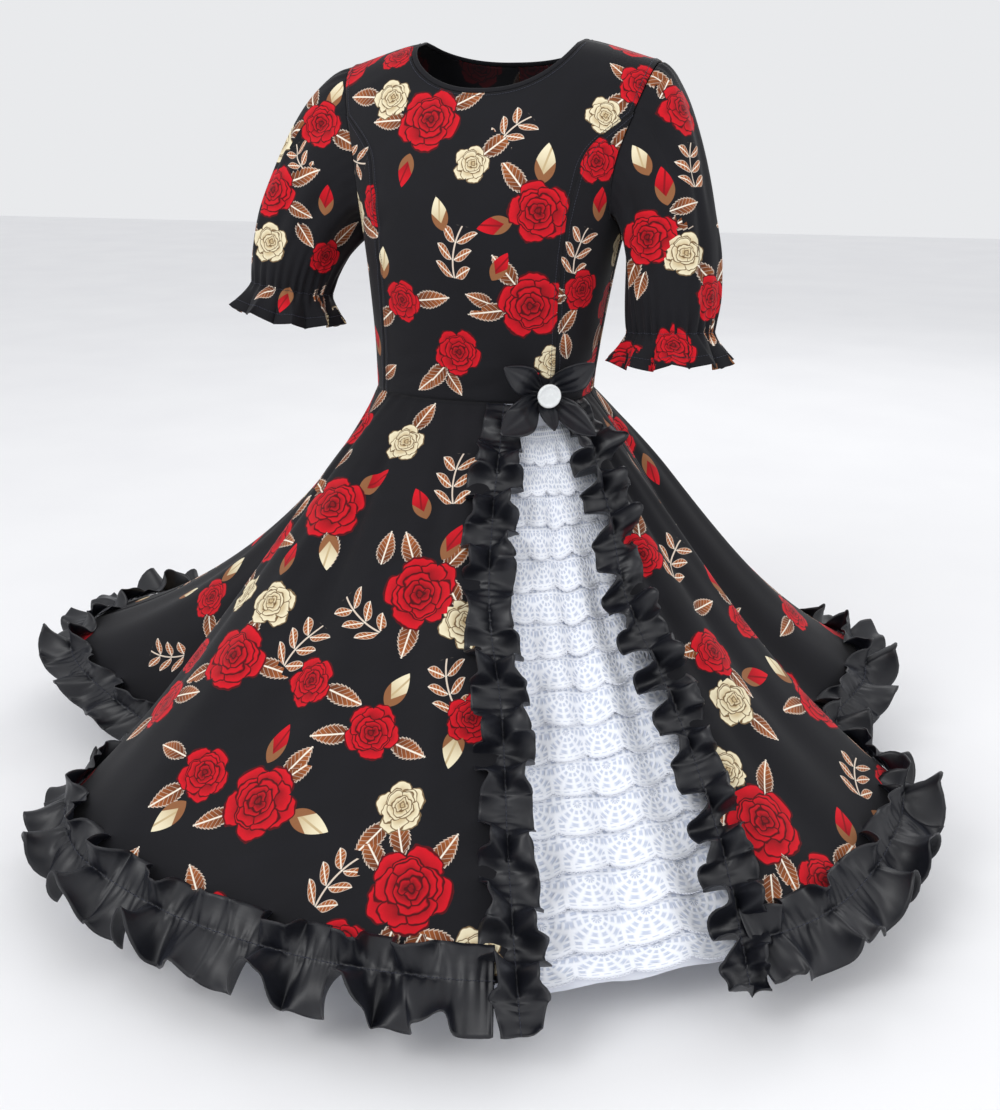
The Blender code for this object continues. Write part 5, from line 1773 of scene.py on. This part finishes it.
# %% The motifs in the picture
# Each entry holds the kind, the place in the picture, the size in cm, the turn in degrees,
# and how many leaves go with it.
MOTIFS = (
    ("rose", 430, 120, 7.2, 10, 2), ("cream", 392, 100, 4.6, 60, 1), ("bud", 405, 170, 3.6, 250, 0),
    ("rose", 540, 212, 6.6, 140, 2), ("cream_bud", 545, 163, 4.2, 80, 0), ("bud", 495, 227, 3.8, 190, 0),
    ("rose", 375, 205, 4.8, 300, 1), ("rose", 532, 305, 7.4, 200, 3), ("rose", 403, 300, 4.8, 90, 2),
    ("rose", 458, 352, 5.4, 20, 1), ("leaf", 430, 380, 3.6, 215, 0), ("leaf", 455, 385, 3.2, 300, 0),
    ("sprig", 455, 250, 5.6, 75, 0), ("cream", 470, 165, 4.0, 30, 1), ("sprig", 510, 130, 5.0, 40, 0),
    ("cream_bud", 440, 215, 3.6, 100, 0), ("bud", 500, 268, 3.4, 60, 0), ("leaf", 480, 300, 3.4, 160, 0),
    ("rose", 640, 85, 5.0, 30, 1), ("leaf", 620, 72, 3.2, 130, 0), ("cream", 605, 115, 3.8, 0, 0),
    ("rose", 400, 55, 4.4, 45, 1), ("bud", 600, 205, 3.6, 100, 0), ("sprig", 577, 250, 5.0, 80, 0),
    ("leaf", 567, 320, 3.6, 60, 0), ("leaf", 566, 345, 3.4, 110, 0), ("cream", 552, 360, 3.8, 0, 0),
    ("rose", 580, 290, 4.6, 60, 1), ("rose", 598, 160, 4.8, 200, 1), ("cream_bud", 385, 262, 3.6, 70, 0),
    ("bud", 378, 340, 3.6, 110, 0), ("leaf", 390, 372, 3.2, 30, 0), ("bud", 525, 378, 3.4, 20, 0),
    ("rose", 272, 190, 6.2, 0, 2), ("cream", 270, 243, 4.6, 50, 1), ("leaf", 300, 210, 3.4, 330, 0),
    ("leaf", 305, 235, 3.4, 300, 0), ("rose", 322, 125, 5.4, 100, 2), ("sprig", 300, 160, 4.4, 120, 0),
    ("bud", 325, 200, 3.4, 80, 0), ("rose", 325, 255, 4.2, 10, 1), ("cream_bud", 335, 95, 3.6, 70, 0),
    ("bud", 285, 300, 3.2, 250, 0), ("leaf", 265, 292, 3.0, 200, 0),
    ("leaf", 665, 85, 3.4, 60, 0), ("rose", 685, 110, 5.6, 80, 1), ("rose", 650, 240, 6.0, 140, 2),
    ("bud", 663, 185, 4.0, 100, 0), ("leaf", 685, 205, 3.6, 20, 0), ("leaf", 640, 285, 3.4, 240, 0),
    ("cream", 685, 255, 4.6, 30, 1), ("rose", 712, 300, 5.0, 60, 1), ("sprig", 690, 165, 4.6, 100, 0),
    ("rose", 672, 345, 4.4, 20, 0), ("leaf", 707, 332, 3.2, 330, 0), ("cream_bud", 640, 160, 3.6, 120, 0),
    ("rose", 355, 425, 5.4, 0, 1), ("rose", 330, 505, 7.6, 60, 2), ("bud", 375, 482, 4.0, 40, 0),
    ("cream_bud", 328, 548, 4.2, 270, 0), ("sprig", 455, 480, 6.0, 95, 0), ("rose", 420, 595, 8.0, 210, 3),
    ("cream", 465, 625, 5.4, 90, 1), ("bud", 452, 540, 4.2, 70, 0), ("cream", 272, 603, 5.2, 120, 1),
    ("rose", 232, 653, 7.4, 10, 2), ("rose", 313, 680, 5.4, 80, 1), ("sprig", 300, 640, 5.6, 50, 0),
    ("sprig", 445, 685, 5.4, 100, 0), ("rose", 470, 720, 5.0, 40, 1), ("cream_bud", 452, 745, 4.0, 260, 0),
    ("rose", 202, 775, 5.6, 90, 1), ("leaf", 175, 750, 3.8, 150, 0), ("cream_bud", 168, 812, 4.2, 230, 0),
    ("rose", 260, 805, 7.8, 150, 2), ("leaf", 300, 770, 4.0, 40, 0), ("bud", 280, 740, 4.2, 80, 0),
    ("cream_bud", 312, 822, 4.4, 330, 0), ("rose", 405, 885, 8.0, 30, 2), ("cream", 400, 808, 5.0, 70, 1),
    ("leaf", 370, 850, 4.2, 120, 0), ("leaf", 440, 850, 4.2, 60, 0), ("leaf", 415, 950, 4.0, 250, 0),
    ("rose", 108, 893, 5.0, 0, 1), ("leaf", 125, 860, 3.8, 70, 0), ("cream_bud", 152, 902, 4.2, 300, 0),
    ("rose", 203, 918, 5.4, 100, 1), ("leaf", 235, 918, 3.8, 20, 0), ("leaf", 255, 932, 3.8, 340, 0),
    ("cream", 480, 955, 5.0, 10, 1), ("rose", 335, 945, 5.2, 130, 1), ("sprig", 330, 880, 5.6, 60, 0),
    ("rose", 375, 735, 5.6, 240, 2), ("cream_bud", 395, 690, 4.0, 60, 0), ("sprig", 360, 620, 5.6, 130, 0),
    ("rose", 70, 635, 5.6, 30, 1), ("rose", 75, 690, 5.4, 90, 1), ("sprig", 165, 655, 5.4, 170, 0),
    ("rose", 195, 655, 4.6, 0, 0), ("rose", 210, 598, 5.4, 60, 1), ("cream_bud", 235, 570, 4.2, 40, 0),
    ("bud", 290, 560, 4.0, 100, 0), ("leaf", 385, 545, 4.0, 80, 0), ("cream", 405, 440, 4.6, 40, 1),
    ("bud", 420, 505, 3.8, 110, 0), ("leaf", 340, 460, 3.6, 200, 0),
    ("rose", 625, 435, 6.0, 60, 2), ("leaf", 635, 465, 3.6, 300, 0), ("bud", 652, 470, 4.2, 300, 0),
    ("sprig", 670, 555, 5.6, 60, 0), ("rose", 640, 555, 5.2, 20, 1), ("leaf", 700, 605, 3.8, 30, 0),
    ("leaf", 695, 650, 3.8, 200, 0), ("rose", 712, 650, 5.6, 100, 1), ("cream", 730, 700, 5.2, 60, 1),
    ("bud", 755, 680, 4.2, 20, 0), ("rose", 745, 620, 5.2, 140, 1), ("bud", 717, 575, 4.2, 110, 0),
    ("rose", 792, 612, 5.6, 60, 1), ("rose", 820, 700, 7.0, 0, 2), ("cream_bud", 780, 668, 4.2, 140, 0),
    ("rose", 765, 820, 8.0, 70, 3), ("sprig", 855, 775, 5.6, 60, 0), ("rose", 895, 785, 5.2, 20, 1),
    ("bud", 888, 825, 4.2, 300, 0), ("leaf", 775, 895, 4.0, 260, 0), ("rose", 825, 885, 6.0, 110, 2),
    ("leaf", 770, 925, 3.6, 290, 0), ("cream", 725, 770, 4.6, 10, 1), ("bud", 845, 830, 4.2, 80, 0),
)
PRINTED = [n for n in PIECES if n.startswith(("bodice", "sleeve", "skirt"))]
LAYERS = {"rose": ("rose_at", 1), "cream": ("rose_at", 2), "bud": ("bud_at", 1), "cream_bud": ("bud_at", 2),
          "leaf": ("leaf_at", 1), "sprig": ("leaf_at", 2)}
STAMP_REACH = 1.45
PRINT_SCALE = 1.10
SEARCH_PX = 11.0
DEPTH_PER_PX = 0.012


def stamp_frame(way, top_of):
    """Two directions in the cloth: the stamp's x and y, with its top turned towards top_of."""
    y = top_of - way * (top_of @ way)
    y /= np.linalg.norm(y)
    return np.cross(y, way), y


placed = {name: [] for name in PRINTED}


def fix_motif(name, row, column, kind, size, top_of, leaves):
    size = size * PRINT_SCALE
    grid, way = FORMS[name]
    point, out = grid[row, column], way[row, column]
    x, y = stamp_frame(out, top_of)
    placed[name].append((kind, point, x, y, out, size / 200))
    for leaf in range(leaves):
        turn = math.radians(70 + 118 * leaf + 31 * len(placed[name]))
        lean = x * math.cos(turn) + y * math.sin(turn)
        long = 0.047
        root = point + lean * (size / 200 * 0.80 + long * 0.42)
        placed[name].append(("leaf", root, *stamp_frame(out, lean), out, long / 2))


grids = {name: (in_picture(FORMS[name][0]), FORMS[name][1]) for name in PRINTED}
missed = 0
for kind, px, py, size, turn, leaves in MOTIFS:
    best = None
    for name, ((seen, ahead), way) in grids.items():
        near = np.hypot(seen[..., 0] - px, seen[..., 1] - py)
        far = np.where(near < SEARCH_PX, ahead + near * DEPTH_PER_PX, 99.0)
        row, column = np.unravel_index(np.argmin(far), far.shape)
        if far[row, column] < (best[0] if best else 90.0):
            best = (far[row, column], name, row, column)
    if best is None:
        missed += 1
        continue
    _, name, row, column = best
    top_of = view_right * math.cos(math.radians(turn)) + view_up * math.sin(math.radians(turn))
    fix_motif(name, row, column, kind, size, top_of, leaves)
print("motifs placed from the picture:", len(MOTIFS) - missed, "missed:", missed)

# %% [markdown]
# The sides and the back carry the same mix of motifs, scattered at even distances with a
# fixed seed. A spot is taken only where the picture doesn't show the cloth and where no
# motif is close by.

# %% The hidden sides
MIX = (
    ("rose", 7.4, 3), ("rose", 5.4, 1), ("cream", 5.0, 1),
    ("bud", 4.0, 0), ("sprig", 5.4, 0), ("cream_bud", 4.0, 0),
    ("leaf", 3.8, 0), ("rose", 6.4, 2), ("bud", 4.0, 0),
)
SPACING = 1.12
chance = np.random.default_rng(17)
for name in PRINTED:
    grid, way = FORMS[name]
    towards = camera_at - grid
    facing = (way * towards).sum(-1) / np.linalg.norm(towards, axis=-1)
    hidden = np.argwhere(facing < 0.12)
    if not len(hidden):
        continue
    order = chance.permutation(len(hidden))[:2600]
    wanted = 0
    for i in order:
        row, column = hidden[i]
        kind, size, leaves = MIX[wanted % len(MIX)]
        point = grid[row, column]
        others = placed[name]
        clear = all(np.linalg.norm(point - p) > SPACING * (size / 200 + r) for _, p, _, _, _, r in others)
        if clear:
            turn = chance.uniform(0, 2 * math.pi)
            level = np.cross([0.0, 0.0, 1.0], way[row, column]) + 1e-6
            top_of = np.array([0.0, 0.0, math.sin(turn)]) + level * math.cos(turn)
            fix_motif(name, row, column, kind, size, top_of, leaves)
            wanted += 1
print("motifs in all:", {name: len(found) for name, found in placed.items()})


# %% Storing each face's place on its stamps
STAMP_LAYERS = ("leaf_at", "bud_at", "rose_at")
STAMP_FACING = 0.35
NO_STAMP = (9.0, 9.0, 0.0)


def stamp_piece(name):
    mesh = PIECES[name].data
    spots = np.empty(len(mesh.vertices) * 3)
    mesh.vertices.foreach_get("co", spots)
    spots = spots.reshape(-1, 3)
    around = np.empty(len(mesh.loops), int)
    mesh.loops.foreach_get("vertex_index", around)
    around = around.reshape(-1, 4)
    middles = spots[around].mean(axis=1)
    normals = np.empty(len(mesh.polygons) * 3)
    mesh.polygons.foreach_get("normal", normals)
    normals = normals.reshape(-1, 3)
    for layer in STAMP_LAYERS:
        nearest = np.full(len(middles), NO_STAMP[0])
        at = np.full(around.shape + (3,), NO_STAMP)
        for kind, point, x, y, out, radius in placed[name]:
            title, number = LAYERS[kind]
            if title != layer:
                continue
            away = middles - point
            close = np.linalg.norm(away, axis=1) / radius
            faces_it = np.abs(normals @ out) > STAMP_FACING
            mine = (close < np.minimum(nearest, STAMP_REACH)) & faces_it
            nearest[mine] = close[mine]
            local = spots[around[mine]] - point
            which = np.full(local.shape[:2], float(number))
            at[mine] = np.stack([local @ x / radius, local @ y / radius, which], -1)
        store(mesh, layer, at.astype(np.float32).ravel())


for name in PRINTED:
    stamp_piece(name)
plain = PIECES["neck_binding"].data
for layer in STAMP_LAYERS:
    store(plain, layer, np.tile(np.array(NO_STAMP, np.float32), len(plain.loops)))
print("printed pieces:", len(PRINTED))

# %% [markdown]
# ## Stitches
# A row of stitches is the same small thing repeated along a line, which is what Geometry
# Nodes are good at. One tree takes any set of lines, steps along them, and puts a short
# length of thread at each step, turned to follow the line. Another tree puts small loops
# along the scalloped edges of the lace.

# %% Trees that repeat along a line
ITEM_SIZES = ("Step", "Length", "Thickness")


def repeat_tree(name, build_item, material):
    tree = bpy.data.node_groups.new(name, "GeometryNodeTree")
    tree.interface.new_socket("Lines", in_out="INPUT", socket_type="NodeSocketGeometry")
    for title in ITEM_SIZES:
        tree.interface.new_socket(title, in_out="INPUT", socket_type="NodeSocketFloat")
    tree.interface.new_socket("Made", in_out="OUTPUT", socket_type="NodeSocketGeometry")
    wire = Wiring(tree)
    given = tree.nodes.new("NodeGroupInput").outputs
    curve = wire.add("GeometryNodeMeshToCurve", Mesh=given["Lines"])
    points = tree.nodes.new("GeometryNodeCurveToPoints")
    points.mode = "LENGTH"
    wire.put(points.inputs["Curve"], curve.outputs[0])
    wire.put(points.inputs["Length"], given["Step"])
    placed_items = tree.nodes.new("GeometryNodeInstanceOnPoints")
    wire.put(placed_items.inputs["Points"], points.outputs["Points"])
    wire.put(placed_items.inputs["Rotation"], points.outputs["Rotation"])
    wire.put(placed_items.inputs["Instance"], build_item(tree, wire, given))
    real = wire.add("GeometryNodeRealizeInstances", Geometry=placed_items.outputs[0])
    finished = wire.add("GeometryNodeSetMaterial", Geometry=real.outputs[0])
    finished.inputs["Material"].default_value = material
    result = tree.nodes.new("NodeGroupOutput").inputs
    wire.put(result[0], finished.outputs[0])
    return tree


def thread_item(tree, wire, given):
    made = tree.nodes.new("GeometryNodeMeshCylinder")
    made.inputs["Vertices"].default_value = 5
    wire.put(made.inputs["Radius"], given["Thickness"])
    wire.put(made.inputs["Depth"], given["Length"])
    return made.outputs["Mesh"]


def loop_item(tree, wire, given):
    ring = tree.nodes.new("GeometryNodeCurvePrimitiveCircle")
    ring.inputs["Resolution"].default_value = 8
    wire.put(ring.inputs["Radius"], given["Length"])
    cord = tree.nodes.new("GeometryNodeCurvePrimitiveCircle")
    cord.inputs["Resolution"].default_value = 4
    wire.put(cord.inputs["Radius"], given["Thickness"])
    tube = tree.nodes.new("GeometryNodeCurveToMesh")
    wire.put(tube.inputs[0], ring.outputs[0])
    wire.put(tube.inputs[1], cord.outputs[0])
    upright = tree.nodes.new("GeometryNodeTransform")
    wire.put(upright.inputs["Geometry"], tube.outputs[0])
    upright.inputs["Rotation"].default_value = (math.pi / 2, 0.0, 0.0)
    return upright.outputs[0]


def grown(name, lines, tree, sizes_mm, material):
    """Runs a tree on a set of lines and keeps the plain mesh."""
    verts, edges = [], []
    for line in lines:
        edges += [(len(verts) + i, len(verts) + i + 1) for i in range(len(line) - 1)]
        verts += [tuple(map(float, point)) for point in line]
    base = bpy.data.meshes.new(name + "_lines")
    base.from_pydata(verts, edges, [])
    holder = add_object(name + "_lines", base)
    modifier = holder.modifiers.new("repeat", "NODES")
    modifier.node_group = tree
    sizes = dict(zip(ITEM_SIZES, sizes_mm))
    for item in tree.interface.items_tree:
        if item.in_out == "INPUT" and item.name in sizes:
            modifier[item.identifier] = sizes[item.name] * MM
    bpy.context.view_layer.update()
    seen = holder.evaluated_get(bpy.context.evaluated_depsgraph_get())
    mesh = bpy.data.meshes.new_from_object(seen)
    mesh.name = name
    bpy.data.objects.remove(holder)
    if not mesh.materials:
        mesh.materials.append(material)
    if not mesh.uv_layers:
        mesh.uv_layers.new(name="threads")
    mesh.uv_layers[0].name = "threads"
    mesh.shade_smooth()
    piece = add_object(name, mesh)
    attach(piece, "root")
    return piece


# %% Rows of stitches
SEAM_STITCHES_IN = 5.5 * MM
STITCH_LIFT = 0.9 * MM
SLEEVE_STITCH_LIFT = 0.8 * MM
SEAM_STITCH_LIFT = 0.75 * MM


def line_on(name, row, lift=STITCH_LIFT):
    grid, way = FORMS[name]
    return grid[row] + way[row] * lift


def beside(name, edge, distance):
    """A line on a piece at a fixed distance from one of its side edges."""
    grid, way = FORMS[name]
    across = lengths(grid, 1)
    if edge == "right":
        across = across[:, -1:] - across
        grid, way, across = grid[:, ::-1], way[:, ::-1], across[:, ::-1]
    line = []
    for points, ways, spots in zip(grid, way, across):
        if spots[-1] > 3 * distance:
            raised = points + ways * SEAM_STITCH_LIFT
            line.append([np.interp(distance, spots, raised[:, axis]) for axis in range(3)])
    return np.array(line)


satin_lines = []
for panel, *_ in HEM_RUFFLES:
    satin_lines.append(line_on("ruffle_hem_" + panel, HEADER_ROWS))
for side in ("right", "left"):
    satin_lines.append(line_on("ruffle_slit_" + side, SLIT_STITCH_ROW))
print_lines = []
for panel in ("front", "back_right", "back_left", "side_front_right", "side_front_left"):
    for edge in ("left", "right"):
        print_lines.append(beside("bodice_" + panel, edge, SEAM_STITCHES_IN))
for name in ("sleeve_right", "sleeve_left"):
    for row in (SLEEVE_DOWN - 1, SLEEVE_DOWN + FRILL_ROWS - 5):
        print_lines.append(line_on(name, row, SLEEVE_STITCH_LIFT))
print_lines.append(NECK_LOOP - NECK_IN * 3.0 * MM + NECK_OUT * STITCH_LIFT)
THREADS = repeat_tree("stitch_row", thread_item, THREAD)
LOOPS = repeat_tree("picot_edge", loop_item, WHITE_CORD)
made = [
    grown("stitches_on_ruffles", satin_lines, THREADS, (4.2, 3.0, 0.42), THREAD),
    grown("stitches_on_print", print_lines, THREADS, (3.2, 2.3, 0.34), THREAD),
    grown("lace_picots", LACE_EDGES, LOOPS, (4.4, 1.9, 0.5), WHITE_CORD),
]
print("repeated pieces:", [(piece.name, len(piece.data.polygons)) for piece in made])

# %% [markdown]
# ## Floor and light
# The dress stands clear just above a plain pale floor, lit as in a studio: one wide soft
# light from the front and above, a weaker one from the other side, and one behind to give
# the satin an edge.

# %% The studio
FLOOR_Z = solid_box[0][2] - 0.018
FLOOR_REACH = 9.0


def studio_light(name, at, aim, size, watts):
    lamp = bpy.data.lights.new(name, "AREA")
    lamp.size = size
    lamp.energy = watts
    holder = add_object(name, lamp)
    holder.location = at
    holder.rotation_euler = (Vector(aim) - Vector(at)).to_track_quat("-Z", "Y").to_euler()


floor_mesh = bpy.data.meshes.new("floor")
floor_corners = [(x * FLOOR_REACH, y * FLOOR_REACH, FLOOR_Z) for x, y in ((-1, -1), (1, -1), (1, 1), (-1, 1))]
floor_mesh.from_pydata(floor_corners, [], [(0, 1, 2, 3)])
floor_material, floor_wire, floor_shader = new_material("pale_floor")
place = floor_wire.add("ShaderNodeTexCoord").outputs["Object"]
speckle = floor_wire.add("ShaderNodeTexNoise", Vector=place, Scale=3.0).outputs[0]
floor_colour = floor_wire.mix(speckle, colour(236, 236, 238), colour(244, 244, 245))
floor_wire.put(floor_shader["Base Color"], floor_colour)
floor_shader["Roughness"].default_value = 0.8
floor_mesh.materials.append(floor_material)
add_object("floor", floor_mesh)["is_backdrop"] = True

world = bpy.data.worlds.new("studio")
world.use_nodes = True
world.node_tree.nodes["Background"].inputs["Color"].default_value = (0.97, 0.98, 1.0, 1.0)
world.node_tree.nodes["Background"].inputs["Strength"].default_value = 0.84
bpy.context.scene.world = world
bpy.context.scene.view_settings.view_transform = "Standard"
studio_light("front", (-1.1, -2.4, 1.5), (0, 0, -0.5), 1.6, 38)
studio_light("side", (2.4, -1.2, 0.7), (0, 0, -0.5), 1.8, 14)
studio_light("behind", (0.6, 2.6, 1.6), (0, 0, -0.4), 1.6, 18)
print("floor at", round(float(FLOOR_Z), 3))

# %% Sizes, and the end
dressed_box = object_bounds()
growth = [[round(1000 * (b - a), 1) for a, b in zip(*ends)] for ends in zip(solid_box, dressed_box)]
print("grown by, mm:", growth)
print("whole cut:", round(sum(area for *_, area in CUTS), 2), "square metres in", len(CUTS), "pieces")
